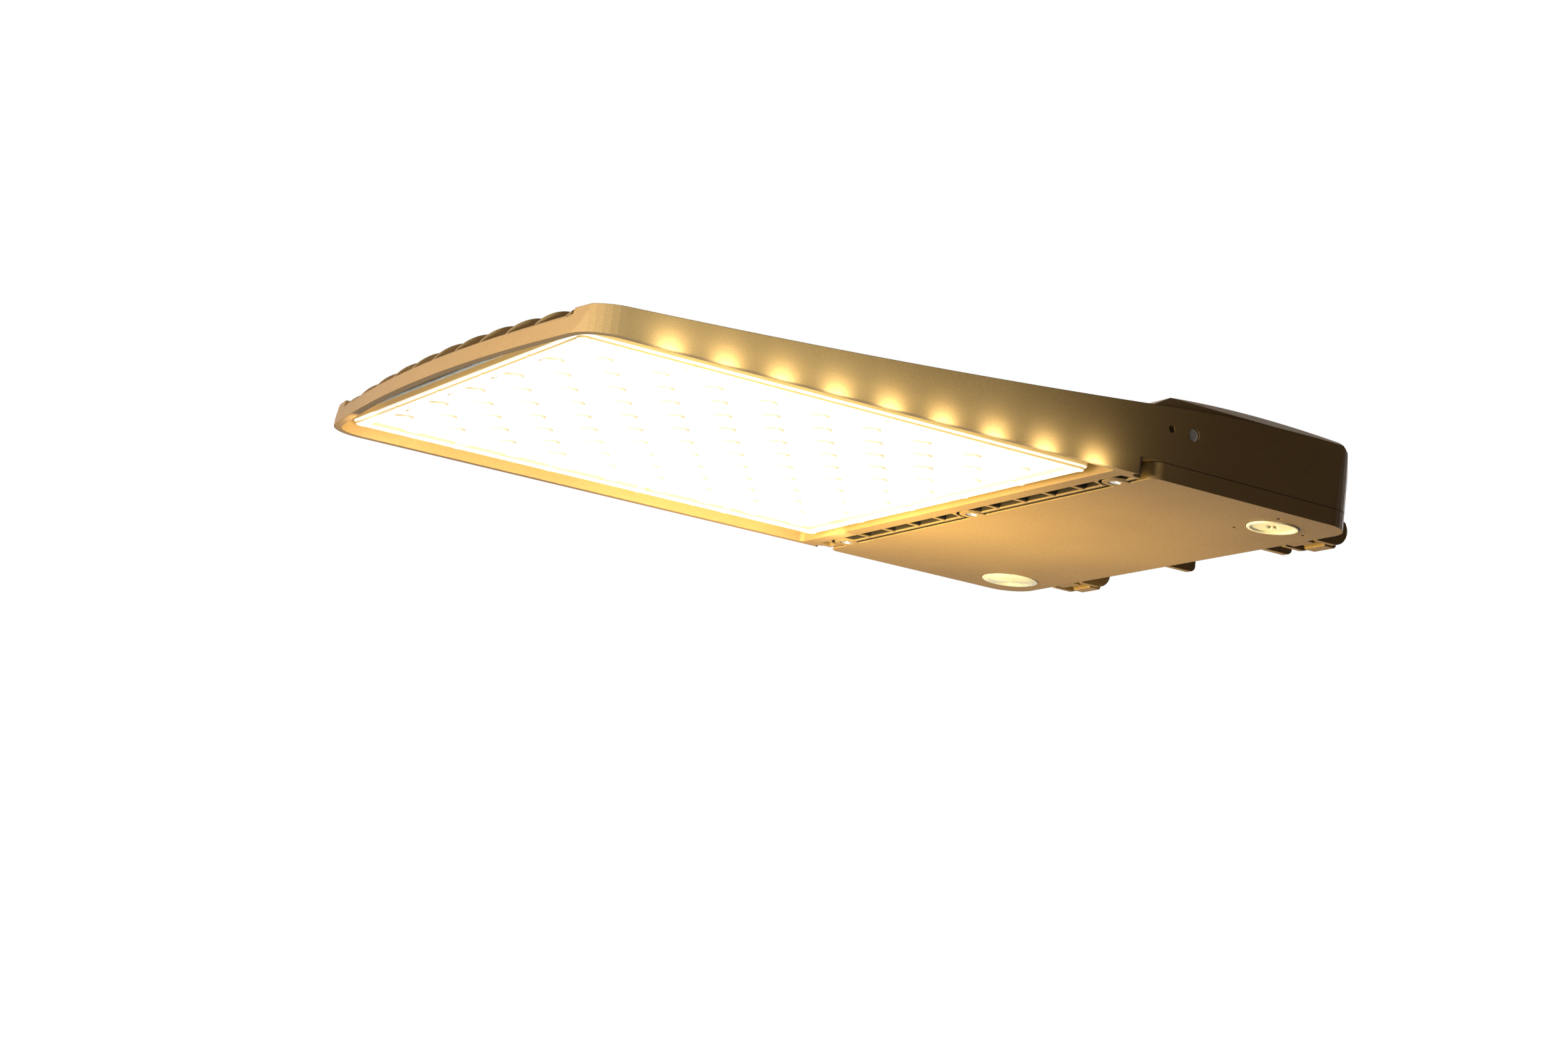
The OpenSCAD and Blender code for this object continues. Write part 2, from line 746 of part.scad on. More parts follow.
module inner_posts() {
    for (p = driver_screw_places()) post(p[0], p[1], driver_top_z);
    for (p = surge_screw_places()) post(p[0], p[1], surge_top_z);
    for (p = block_screw_places()) post(p[0], p[1], block_top_z);
    post(ground_x, ground_y, ground_z);
}

module inner_post_holes() {
    hole = driver_screw_d / 2 + 0.15;
    for (p = driver_screw_places()) translate([p[0], p[1], driver_top_z - 1]) cylinder(r = hole, h = 6);
    for (p = surge_screw_places()) translate([p[0], p[1], surge_top_z - 1]) cylinder(r = hole, h = 6);
    for (p = block_screw_places()) translate([p[0], p[1], block_top_z - 1]) cylinder(r = hole, h = 6);
    translate([ground_x, ground_y, ground_z - 1]) cylinder(r = hole, h = 7);
}

// Places of the electrical parts
driver_x0 = box_inner_x + 8;
driver_top_z = 43;
driver_tab_t = 2;
driver_tab_l = 12;
driver_notch = 3;
lead_z = driver_top_z - driver_h + 7;
surge_x0 = driver_x0 + driver_w + 8;
surge_y = -120;
surge_top_z = 44;
block_x0 = surge_x0 + 6;
block_y = 58;
block_top_z = 44;
ground_x = block_x0 + block_w / 2;
ground_y = block_y + block_l / 2 + 24;
ground_z = 40;
function driver_screw_places() = [
    for (sx = [-1, 1], sy = [-1, 1])
        [driver_x0 + driver_w / 2 + sx * (driver_w / 2 - 10), driver_y + sy * (driver_l / 2 + 6)]
];
function surge_screw_places() = [
    for (sy = [-1, 1]) [surge_x0 + surge_w / 2, surge_y + sy * (surge_l / 2 + 6)]
];
function block_screw_places() = [
    for (sy = [-1, 1]) [block_x0 + block_w / 2, block_y + sy * (block_l / 2 + 5.5)]
];

module housing() {
    color(bronze) from_arm_face() difference() {
        union() {
            tray_shell();
            nose_ramp();
            fins();
            box_shell();
            vent_ribs();
            vent_web();
            screw_bosses();
            lead_duct();
            arm_mount();
            hinge_lugs();
            side_hole_bosses();
            corner_studs();
            inner_posts();
        }
        vent_windows();
        ear_notches();
        screw_boss_holes();
        lead_duct_bore();
        arm_holes();
        hinge_bores();
        side_notches();
        side_holes();
        inner_post_holes();
        lens_screw_holes();
        board_screw_holes();
        vent_hole();
    }
}

// Centres of the lens screws, all round the rim
lens_screw_inset = 6.5;
function spread(a, b, n) = [for (i = [0 : n - 1]) a + (b - a) * i / (n - 1)];
function lens_screw_places() = let (
    x0 = lens_front_x + lens_screw_inset, x1 = lens_rear_x - lens_screw_inset,
    y1 = lens_w / 2 - lens_screw_inset) concat(
    [for (y = spread(-y1, y1, lens_screws), x = [x0, x1]) [x, y]],
    [for (i = [1 : lens_screws - 2], y = [-y1, y1]) [spread(x0, x1, lens_screws)[i], y]]
);

module lens_screw_holes() {
    for (p = lens_screw_places())
        translate([p[0], p[1], recess_h - 1]) cylinder(d = lens_screw_d + 0.3, h = tray_t);
}

// Rows of LEDs. Every second row is shifted by half a pitch.
first_row_x = lens_mid_x - (led_rows - 1) / 2 * led_row_pitch;
function led_places() = [
    for (r = [0 : led_rows - 1], c = [0 : led_cols - 1])
        [first_row_x + r * led_row_pitch,
            (c - (led_cols - 1) / 2 + (r % 2 == 0 ? -0.25 : 0.25)) * led_col_pitch]
];

function dome_profile(r, h) = let (big = (r * r + h * h) / (2 * h)) concat(
    [[0, 0.5], [0, -h]],
    [for (i = [1 : 6]) let (a = asin(r / big) * i / 6) [big * sin(a), big - h - big * cos(a)]],
    [[r, 0.5]]
);

module lens() {
    inner_w = lens_w - 2 * lens_rim_w;
    color(clear) from_arm_face() difference() {
        union() {
            difference() {
                translate([0, 0, lens_z]) linear_extrude(lens_h)
                    rounded_rect(lens_front_x, lens_rear_x, lens_w, lens_corner_r);
                translate([lens_front_x + lens_rim_w, -inner_w / 2, lens_z - 1])
                    cube([lens_l - 2 * lens_rim_w, inner_w, plate_z - lens_z + 1]);
                translate([lens_front_x + lens_rim_w, -inner_w / 2, plate_z + lens_plate_t])
                    cube([lens_l - 2 * lens_rim_w, inner_w, lens_h]);
            }
            for (p = led_places())
                translate([p[0], p[1], plate_z]) rotate_extrude($fn = 24) polygon(dome_profile(dome_r, dome_h));
        }
        for (p = lens_screw_places()) translate([p[0], p[1], lens_z - 1]) {
            cylinder(d = lens_screw_d + 0.4, h = lens_h + 2);
            cylinder(d = lens_head_d + 0.4, h = lens_head_h + 1.4);
        }
    }
}

module lens_gasket() {
    edge = 0.8;
    inner = lens_rim_w;
    color("#c9c6bd") from_arm_face() difference() {
        translate([0, 0, lens_z + lens_h]) linear_extrude(lens_gasket_t)
            rounded_rect(lens_front_x + edge, lens_rear_x - edge, lens_w - 2 * edge, lens_corner_r);
        translate([lens_front_x + inner, -lens_w / 2 + inner, 0])
            cube([lens_l - 2 * inner, lens_w - 2 * inner, recess_h + 1]);
        for (p = lens_screw_places())
            translate([p[0], p[1], 0]) cylinder(d = lens_screw_d + 0.6, h = recess_h + 1);
    }
}

module lens_screws() {
    z0 = lens_z + 0.4;
    color(steel) from_arm_face() for (p = lens_screw_places()) translate([p[0], p[1], z0]) difference() {
        union() {
            cylinder(d = lens_head_d, h = lens_head_h);
            cylinder(d = lens_screw_d, h = recess_h + tray_t - 1.5 - z0);
        }
        translate([0, 0, -1]) cylinder(d = lens_screw_d * 0.65, h = 2.4, $fn = 6);
    }
}

// One of the two circuit boards, which holds half of the rows
board_gap = 1;
board_half_l = led_rows / 2 * led_row_pitch;
board_w = lens_w - 2 * lens_rim_w - 4;
board_screw_d = 3;
function board_x0(i) = lens_mid_x - board_half_l + i * board_half_l + board_gap / 2;
function board_screw_places(i) = [
    for (fx = [0.25, 0.75], y = [-1, 0, 1])
        [board_x0(i) + (board_half_l - board_gap) * fx, y * 2 * led_col_pitch]
];

module board(i) {
    len = board_half_l - board_gap;
    color("#f4f4ee") from_arm_face() difference() {
        translate([board_x0(i), -board_w / 2, board_z]) cube([len, board_w, board_t]);
        for (p = board_screw_places(i))
            translate([p[0], p[1], board_z - 1]) cylinder(d = board_screw_d + 0.4, h = board_t + 2);
        if (i == 1) translate([duct_front_x + 6 + duct_bore_d / 2, duct_y, board_z - 1])
            cylinder(d = duct_bore_d, h = board_t + 2);
    }
}

module led_board_front() {
    board(0);
}

module led_board_rear() {
    board(1);
}

module leds() {
    color("#ffd873") from_arm_face() for (p = led_places())
        translate([p[0] - led_side / 2, p[1] - led_side / 2, led_z]) cube([led_side, led_side, led_h]);
}

module board_screw_holes() {
    for (i = [0, 1], p = board_screw_places(i))
        translate([p[0], p[1], recess_h - 1]) cylinder(d = board_screw_d + 0.3, h = 3.6);
}

module board_screws() {
    head_h = 0.9;
    color(steel) from_arm_face() for (i = [0, 1], p = board_screw_places(i))
        translate([p[0], p[1], board_z - head_h]) {
            cylinder(d = 5.4, h = head_h);
            cylinder(d = board_screw_d, h = board_t + head_h + 2.4);
        }
}

// A bridge connector between the two boards, and the connector that the driver's lead comes down to
connector_h = 1.2;
lead_x = duct_front_x + 6 + duct_bore_d / 2;
module board_connectors() {
    color("#f0f0f0") from_arm_face() {
        translate([lens_mid_x - 5, -led_col_pitch - 4, board_z - connector_h]) cube([10, 8, connector_h]);
        translate([lead_x - 4, duct_y - 4, board_z - connector_h]) cube([8, 8, connector_h]);
    }
}

// A bent wire: a tube with ten sides swept along its points
function unit(v) = v / norm(v);
function bend_dir(p, i) = i == 0 ? unit(p[1] - p[0])
    : i == len(p) - 1 ? unit(p[i] - p[i - 1]) : unit(unit(p[i] - p[i - 1]) + unit(p[i + 1] - p[i]));
function ring(c, d, r, n) = let (
    side = abs(d[2]) > 0.95 ? unit(cross(d, [1, 0, 0])) : unit(cross(d, [0, 0, 1])),
    up = cross(side, d)) [
    for (k = [0 : n - 1]) c + r * (cos(360 * k / n) * side + sin(360 * k / n) * up)
];

// Points of a smooth curve that leaves a along da, and reaches b from b + db
function wire_curve(a, da, b, db, n = 14) = [
    for (i = [0 : n]) let (t = i / n) pow(1 - t, 3) * a + 3 * pow(1 - t, 2) * t * (a + da)
        + 3 * (1 - t) * t * t * (b + db) + t * t * t * b
];

// A wire leaves the face that it starts or ends on with a short straight stub, square to that face
stub_l = 1.5;
function across_to(a, b, reach, n) = concat([a],
    wire_curve(a + [0, stub_l, 0], [0, reach, 0], b - [0, stub_l, 0], [0, -reach, 0], n), [b]);

module wire(p, d = wire_d) {
    n = 8;
    m = len(p);
    points = [for (i = [0 : m - 1]) each ring(p[i], bend_dir(p, i), d / 2, n)];
    polyhedron(
        points = points,
        faces = concat(
            [[for (k = [n - 1 : -1 : 0]) k]],
            [for (i = [0 : m - 2], k = [0 : n - 1]) [i * n + k, i * n + (k + 1) % n,
                (i + 1) * n + (k + 1) % n]],
            [for (i = [0 : m - 2], k = [0 : n - 1]) [i * n + k, (i + 1) * n + (k + 1) % n,
                (i + 1) * n + k]],
            [[for (k = [0 : n - 1]) (m - 1) * n + k]]
        )
    );
}

// The LED driver: a potted case with a fixing tab at each end
module driver() {
    tab_z = driver_top_z - driver_tab_t;
    y0 = driver_y - driver_l / 2;
    color("#d9dadb") from_arm_face() difference() {
        union() {
            translate([driver_x0, y0, driver_top_z - 1 - driver_h]) cube([driver_w, driver_l, driver_h]);
            translate([driver_x0 + 4, y0 - driver_tab_l, tab_z])
                cube([driver_w - 8, driver_l + 2 * driver_tab_l, driver_tab_t]);
        }
        for (p = driver_screw_places())
            translate([p[0], p[1], tab_z - 1]) cylinder(d = driver_screw_d + 0.5, h = driver_tab_t + 2);
        for (s = [0, 1]) translate([driver_x0 + driver_w / 2 - 9, y0 - 1 + s * (driver_l - driver_notch + 1),
            lead_z - 4]) cube([18, driver_notch + 1, 8]);
    }
}

module pan_screw(d, grip, head_d, head_h) {
    difference() {
        union() {
            translate([0, 0, -head_h]) cylinder(d = head_d, h = head_h);
            cylinder(d = d, h = grip);
        }
        translate([0, 0, -head_h - 1]) cylinder(d = d * 0.6, h = 1 + head_h * 0.6, $fn = 6);
    }
}

module driver_screws() {
    color(steel) from_arm_face() for (p = driver_screw_places())
        translate([p[0], p[1], driver_top_z - driver_tab_t]) pan_screw(driver_screw_d, 6, 8, 2.6);
}

// All points of a list but the first
function rest(p) = [for (i = [1 : len(p) - 1]) p[i]];

// The lead from the driver, down the lane beside it and through the duct to the rear circuit board
module driver_lead() {
    exit_y = driver_y + driver_l / 2;
    lane_x = (box_inner_x + driver_x0) / 2;
    from = [driver_x0 + driver_w / 2, exit_y - driver_notch, lead_z];
    turn = [driver_x0 + 2, exit_y + 8, lead_z + 2];
    lane = [lane_x + 0.5, duct_y + 5, duct_z];
    into = [box_inner_x + lead_grommet_t + 0.4, duct_y, duct_z];
    color("#a52a20") from_arm_face() wire(concat(
        [from],
        wire_curve(from + [0, stub_l, 0], [0, 20, 0], turn, [14, 2, 0]),
        rest(wire_curve(turn, [-8, -2, 0], lane, [0, 20, 0])),
        rest(wire_curve(lane, [0, -3, 0], into, [2, 0, 0], 4)),
        [[lead_x + 5, duct_y, duct_z], [lead_x + 1.5, duct_y, duct_z - 0.6], [lead_x, duct_y, duct_z - 2.2],
            [lead_x, duct_y, board_z]]
    ));
}

lead_grommet_t = 2;
module lead_grommet() {
    t = lead_grommet_t;
    color(rubber) from_arm_face() translate([box_inner_x, duct_y, duct_z]) rotate([0, 90, 0]) difference() {
        union() {
            cylinder(d = duct_bore_d + 4, h = t);
            translate([0, 0, -3]) cylinder(d = duct_bore_d - 0.2, h = t + 3);
        }
        translate([0, 0, -4]) cylinder(d = wire_d + 0.6, h = t + 5);
    }
}

module surge_protector() {
    tab = 12;
    color("#c7412f") from_arm_face() difference() {
        union() {
            translate([surge_x0, surge_y - surge_l / 2, surge_top_z - surge_h]) cube([surge_w, surge_l, surge_h]);
            translate([surge_x0 + surge_w / 2 - 6, surge_y - surge_l / 2 - tab, surge_top_z - 2])
                cube([12, surge_l + 2 * tab, 2]);
        }
        for (p = surge_screw_places())
            translate([p[0], p[1], surge_top_z - 3]) cylinder(d = driver_screw_d + 0.5, h = 4);
    }
}

module surge_screws() {
    color(steel) from_arm_face() for (p = surge_screw_places())
        translate([p[0], p[1], surge_top_z - 2]) pan_screw(driver_screw_d, 6, 8, 2.6);
}

module surge_wires() {
    color("#1c1c1c") from_arm_face() for (k = [0, 1]) {
        start = [surge_x0 + 10 + 8 * k, surge_y + surge_l / 2, surge_top_z - 14];
        end = [block_x0 + 6 + 7 * k, block_y - block_l / 2, block_top_z - block_h + 6];
        wire(across_to(start, end, 38, 18));
    }
}

module terminal_block() {
    poles = 3;
    pole = block_l / poles;
    color("#ece9df") from_arm_face() difference() {
        translate([block_x0, block_y - block_l / 2 - 10, block_top_z - block_h])
            union() {
                translate([0, 10, 0]) cube([block_w, block_l, block_h]);
                translate([block_w / 2 - 5, 0, block_h - 3]) cube([10, block_l + 20, 3]);
            }
        for (k = [0 : poles - 1])
            translate([block_x0 + block_w / 2, block_y - block_l / 2 + (k + 0.5) * pole, 0])
                cylinder(d = 6, h = block_top_z - block_h + 5);
        for (k = [0 : poles - 1])
            translate([block_x0 + block_w - 5, block_y - block_l / 2 + (k + 0.5) * pole - 2.5,
                block_top_z - block_h + 5]) cube([6, 5, 5]);
        for (p = block_screw_places())
            translate([p[0], p[1], block_top_z - 4]) cylinder(d = driver_screw_d + 0.5, h = 5);
    }
}

module terminal_screws() {
    color(steel) from_arm_face() {
        for (k = [0 : 2])
            translate([block_x0 + block_w / 2, block_y - block_l / 2 + (k + 0.5) * block_l / 3,
                block_top_z - block_h + 1]) difference() {
                cylinder(d = 5.4, h = 4);
                translate([-3, -0.5, -1]) cube([6, 1, 2]);
            }
        for (p = block_screw_places())
            translate([p[0], p[1], block_top_z - 3]) pan_screw(driver_screw_d, 7, 8, 2.6);
    }
}

// Wires from the terminal block round the driver to its input end
module input_wires() {
    end_y = driver_y - driver_l / 2;
    lane_x = (driver_x0 + driver_w + surge_x0) / 2;
    // the two wires run one above the other between the driver and the surge protector
    for (k = [0, 1]) {
        lane_z = lead_z + 4 - 4.5 * k;
        start = [block_x0, block_y + (k - 0.5) * block_l / 3, block_top_z - block_h + 7.5];
        side = [lane_x, block_y - 60 - 6 * k, lane_z];
        back = [lane_x, end_y - 2, lane_z];
        end = [driver_x0 + driver_w / 2 + 4 - 8 * k, end_y + driver_notch, lead_z];
        color(k == 0 ? "#1c1c1c" : "#e8e6df") from_arm_face() wire(concat(
            [start],
            wire_curve(start - [stub_l, 0, 0], [-7, -2, -2 - 8 * k], side, [0, 26 + 22 * k, 0], 11),
            rest(wire_curve(side, [0, -40, 0], back, [0, 40, 0], 4)),
            rest(wire_curve(back, [0, -14 - 8 * k, 0], end - [0, stub_l, 0], [0, -20 - 8 * k, 0], 13)),
            [end]
        ));
    }
}

ground_head_d = 9;
module ground_wire() {
    start = [block_x0 + block_w / 2, block_y + block_l / 2, block_top_z - block_h + 8];
    end = [ground_x, ground_y - ground_head_d / 2, ground_z - 1.5];
    color("#3f8f4f") from_arm_face() wire(across_to(start, end, 5, 8), wire_d * 0.8);
}

module ground_screw() {
    color("#3f8f4f") from_arm_face() translate([ground_x, ground_y, ground_z])
        pan_screw(driver_screw_d, 6, ground_head_d, 3);
}

module arm_grommet() {
    lip = 2;
    color(rubber) from_arm_face() translate([arm_face_x - arm_wall_t, 0, arm_face_z]) rotate([0, 90, 0])
        difference() {
            union() {
                translate([0, 0, -lip]) cylinder(d = wire_hole_d + 2 * grommet_lip_w, h = lip);
                cylinder(d = wire_hole_d - 0.2, h = arm_wall_t - 0.5);
            }
            translate([0, 0, -lip - 1]) cylinder(d = grommet_bore_d, h = arm_wall_t + lip + 2);
        }
}

// A breather that evens out the driver room's air pressure into the slot
vent_d = 8;
vent_y = -1.5 * fin_pitch;
vent_z = 28;
module vent_hole() {
    translate([box_wall_x - 1, vent_y, vent_z]) rotate([0, 90, 0])
        cylinder(d = vent_d + 0.2, h = box_inner_x - box_wall_x + 2);
}

module breather_vent() {
    color("#8d8d8d") from_arm_face() translate([box_wall_x, vent_y, vent_z]) rotate([0, 90, 0]) {
        cylinder(d = vent_d, h = box_inner_x - box_wall_x);
        translate([0, 0, -2.4]) cylinder(d = vent_d + 5, h = 2.4);
    }
}

module hinge_pin(side) {
    color(steel) from_arm_face() translate([pin_x, side * hinge_y - hinge_w / 2, pin_z])
        rotate([-90, 0, 0]) cylinder(d = pin_d, h = hinge_w);
}

module hinge_pin_near() {
    hinge_pin(-1);
}

module hinge_pin_far() {
    hinge_pin(1);
}

// Plan of the door, drawn in by inset
module door_plan(inset = 0) {
    w = half_w - inset;
    fr = max(door_corner_r - inset, 1);
    rr = max(rear_corner_r - inset, 1);
    x0 = door_front_x + inset;
    x1 = box_len - inset;
    polygon(concat(
        arc(x0 + fr, -w + fr, fr, 180, 270, 8),
        arc(x1 - rr, -w + rr, rr, 270, 360, 8),
        arc(x1 - rr, w - rr, rr, 0, 90, 8),
        arc(x0 + fr, w - fr, fr, 90, 180, 8)
    ));
}

gasket_gap = 0.3;
gasket_z = seam_z - gasket_gap - door_gasket_t;
gasket_inset = door_wall_t + 0.4;
door_gasket_w = wall_t - gasket_inset - 0.2;
ledge_w = gasket_inset + door_gasket_w + 2;

module door_tray() {
    difference() {
        linear_extrude(door_h) door_plan();
        translate([0, 0, gasket_z]) linear_extrude(door_h) door_plan(door_wall_t);
        translate([0, 0, door_plate_t]) linear_extrude(door_h) door_plan(ledge_w);
    }
}

module door_ears() {
    for (s = [-1, 0, 1]) translate([0, s * door_screw_y, 0]) {
        cylinder(r = ear_r, h = ear_t);
        translate([0, -ear_r, 0]) cube([door_front_x + ledge_w, 2 * ear_r, ear_t]);
    }
}

// A knuckle for each hinge, on an arm that comes out of the door's rear wall. A foot under the knuckle
// and a pad behind the wall reach down to the door's underside, with a hollow between them.
module door_knuckles() {
    w = hinge_w - 2 * lug_t - 2 * knuckle_gap;
    low_z = 0.6;
    hollow_z = 3;
    pad_x = box_len + 7.5;
    foot_x = pin_x - 1;
    arm_top_z = gasket_z;
    for (s = [-1, 1]) translate([0, s * hinge_y, 0]) {
        translate([pin_x, -w / 2, pin_z]) rotate([-90, 0, 0]) cylinder(r = knuckle_r, h = w);
        across(w) polygon([[box_len - ledge_w, low_z], [pad_x, low_z], [pad_x + 1.5, hollow_z],
            [foot_x - 0.5, hollow_z], [foot_x, low_z], [pin_x + knuckle_r - 1, low_z],
            [pin_x + knuckle_r, low_z + 1.5], [pin_x + knuckle_r, pin_z], [pin_x - knuckle_r / 2, pin_z + 3],
            [pin_x - knuckle_r, arm_top_z], [box_len - ledge_w, arm_top_z]]);
    }
}

module door_ribs() {
    h = 2.5;
    mirrored() for (y = [48, 100])
        translate([door_front_x + ledge_w - 1, y, door_plate_t - eps])
            cube([box_len - door_front_x - 2 * ledge_w + 2, 2, h]);
}

module door() {
    color(bronze_door) from_arm_face() difference() {
        union() {
            door_tray();
            door_ears();
            door_knuckles();
            door_ribs();
            translate([plug_x, -port_y, 0]) cylinder(d = plug_d + 4, h = door_plate_t + 2);
            translate([sensor_x, port_y, 0]) cylinder(d = sensor_d + 4, h = door_plate_t + 2);
        }
        for (s = [-1, 0, 1]) translate([0, s * door_screw_y, 0]) {
            translate([0, 0, -1]) cylinder(d = door_screw_d + 0.6, h = ear_t + 2);
            translate([0, 0, -1]) cylinder(d = door_head_d + 0.8, h = door_head_h + 1.2);
        }
        for (s = [-1, 1]) translate([pin_x, s * hinge_y - hinge_w / 2, pin_z]) rotate([-90, 0, 0])
            cylinder(r = pin_d / 2 + pin_fit, h = hinge_w);
        translate([plug_x, -port_y, -1]) cylinder(d = plug_shank_d + 0.4, h = door_plate_t + 4);
        translate([plug_x, -port_y, -1]) cylinder(d = plug_d + 0.6, h = 1 + seat_depth);
        for (k = [0 : 2]) rotate_about(plug_x, -port_y, 120 * k)
            translate([plug_x + pilot_r, -port_y, -1]) cylinder(d = pilot_d, h = 1 + door_plate_t - 0.8, $fn = 24);
        translate([sensor_x, port_y, -1]) cylinder(d = sensor_d - 6, h = door_plate_t + 4);
        translate([sensor_x, port_y, -1]) cylinder(d = sensor_d + 0.6, h = 1 + seat_depth);
    }
}

seat_depth = 1.6;
module rotate_about(x, y, a) {
    translate([x, y, 0]) rotate([0, 0, a]) translate([-x, -y, 0]) children();
}

module door_gasket() {
    color("#3a3a3a") from_arm_face() translate([0, 0, gasket_z]) linear_extrude(door_gasket_t) difference() {
        door_plan(gasket_inset);
        door_plan(gasket_inset + door_gasket_w);
    }
}

// The cream plug: a flange with a raised rim and a cross recess, and a threaded shank
module control_plug() {
    seal_t = 1;
    rim = 2.5;
    color(cream) from_arm_face() translate([plug_x, -port_y, seat_depth - seal_t]) difference() {
        union() {
            translate([0, 0, -plug_flange_h]) cylinder(d = plug_d, h = plug_flange_h);
            cylinder(d = plug_shank_d, h = door_plate_t + 10);
        }
        translate([0, 0, -plug_flange_h - 1]) cylinder(d = plug_d - 2 * rim, h = 1.5);
        for (a = [0, 90]) rotate([0, 0, a])
            translate([-plug_d * 0.25, -1, -plug_flange_h - 1]) cube([plug_d * 0.5, 2, 2.4]);
        translate([0, 0, 2]) cylinder(d = plug_shank_d - 5, h = door_plate_t + 10);
    }
}

module plug_seal() {
    color(rubber) from_arm_face() translate([plug_x, -port_y, seat_depth - 1]) difference() {
        cylinder(d = plug_d - 1, h = 1);
        translate([0, 0, -1]) cylinder(d = plug_shank_d + 0.4, h = 3);
    }
}

module plug_nut() {
    color("#d8d4c4") from_arm_face() translate([plug_x, -port_y, door_plate_t + 2]) difference() {
        cylinder(d = plug_shank_d + 10, h = plug_nut_t, $fn = 6);
        translate([0, 0, -1]) cylinder(d = plug_shank_d + 0.2, h = plug_nut_t + 2);
    }
}

// The shallow clear window of the light and motion sensor
module sensor_window() {
    color(clear) from_arm_face() translate([sensor_x, port_y, seat_depth - 0.8]) difference() {
        union() {
            translate([0, 0, -sensor_dome_h]) cylinder(d1 = sensor_d - 6, d2 = sensor_d, h = sensor_dome_h);
            cylinder(d = sensor_d - 6.6, h = door_plate_t);
        }
        translate([0, 0, -0.8]) cylinder(d = sensor_d - 10, h = door_plate_t + 5);
    }
}

module sensor_seal() {
    color(rubber) from_arm_face() translate([sensor_x, port_y, seat_depth - 0.8]) difference() {
        cylinder(d = sensor_d - 1, h = 0.8);
        translate([0, 0, -1]) cylinder(d = sensor_d - 6.2, h = 3);
    }
}

module sensor_module() {
    z0 = door_plate_t + 2;
    color("#30343a") from_arm_face() translate([sensor_x, port_y, z0]) difference() {
        union() {
            cylinder(d = sensor_d + 2, h = 3);
            cylinder(d = sensor_d - 8, h = 14);
            translate([0, 0, -4]) cylinder(d = 14, h = 5);
        }
        translate([0, 0, -5]) cylinder(d = 6, h = 3);
    }
}

// A captive door screw: head, shank and a deep socket
module captive_screw(y) {
    color(steel) from_arm_face() translate([0, y, door_head_h + 0.2]) {
        difference() {
            union() {
                translate([0, 0, -door_head_h]) cylinder(d = door_head_d, h = door_head_h);
                cylinder(d = door_screw_d, h = screw_boss_z + door_screw_grip - door_head_h - 0.2);
            }
            translate([0, 0, -door_head_h - 1]) cylinder(d = door_head_d * 0.5, h = door_head_h, $fn = 6);
            translate([0, 0, clip_z - door_head_h - 0.2]) difference() {
                cylinder(d = door_screw_d + 1, h = clip_t);
                translate([0, 0, -1]) cylinder(d = door_screw_d - 1, h = clip_t + 2);
            }
        }
    }
}

// The spring clip that keeps the screw in the door
module screw_clip(y) {
    color("#8a8d90") from_arm_face() translate([0, y, clip_z]) difference() {
        cylinder(d = door_screw_d + 4.5, h = clip_t);
        translate([0, 0, -1]) cylinder(d = door_screw_d - 1 + 0.1, h = clip_t + 2);
        translate([0, -1.2, -1]) cube([door_screw_d + 5, 2.4, clip_t + 2]);
    }
}

module door_screw_near() {
    captive_screw(-door_screw_y);
}

module door_screw_mid() {
    captive_screw(0);
}

module door_screw_far() {
    captive_screw(door_screw_y);
}

module screw_clip_near() {
    screw_clip(-door_screw_y);
}

module screw_clip_mid() {
    screw_clip(0);
}

module screw_clip_far() {
    screw_clip(door_screw_y);
}

housing();
lens();
lens_gasket();
lens_screws();
led_board_front();
led_board_rear();
leds();
board_screws();
board_connectors();
driver();
driver_screws();
driver_lead();
lead_grommet();
surge_protector();
surge_screws();
surge_wires();
terminal_block();
terminal_screws();
input_wires();
ground_wire();
ground_screw();
arm_grommet();
breather_vent();
hinge_pin_near();
hinge_pin_far();
door();
door_gasket();
control_plug();
plug_seal();
plug_nut();
sensor_window();
sensor_seal();
sensor_module();
door_screw_near();
screw_clip_near();
door_screw_mid();
screw_clip_mid();
door_screw_far();
screw_clip_far();
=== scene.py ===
# %% [markdown]
# # Dressing a shoebox area light
# A shoebox light hangs flat on the end of a pole arm and shines straight down. Its aluminium casting, door,
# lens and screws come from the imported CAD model, which fixes their places. This lesson gives each of them a
# finish, and swaps a few plain solids for pieces with finer detail: the moulded optic, the LED packages,
# the wires, the screws, the plug and the sensor window.

import math

import bmesh
import bpy
from mathutils import Matrix, Vector


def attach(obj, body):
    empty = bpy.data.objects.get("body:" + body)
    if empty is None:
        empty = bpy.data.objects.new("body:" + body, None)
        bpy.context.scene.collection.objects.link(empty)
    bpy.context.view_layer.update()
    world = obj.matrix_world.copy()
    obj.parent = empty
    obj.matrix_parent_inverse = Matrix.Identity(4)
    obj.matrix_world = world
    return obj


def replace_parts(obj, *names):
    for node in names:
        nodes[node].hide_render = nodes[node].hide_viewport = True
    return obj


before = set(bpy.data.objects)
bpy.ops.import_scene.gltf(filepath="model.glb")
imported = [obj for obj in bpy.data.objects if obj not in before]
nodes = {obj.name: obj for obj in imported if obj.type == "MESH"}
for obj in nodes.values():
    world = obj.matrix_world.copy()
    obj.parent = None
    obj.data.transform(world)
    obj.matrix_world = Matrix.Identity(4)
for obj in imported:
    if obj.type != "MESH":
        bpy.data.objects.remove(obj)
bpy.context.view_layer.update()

# %% [markdown]
# ## Sizes
# The CAD model was drawn in millimetres from the line of the door's screws and from the underside, and then
# moved so that the arm face is the origin. Working in the same drawing places keeps the numbers round, so
# one function turns a drawing place into metres in the shared frame. X runs back to the pole, Y to the far
# side and Z up.

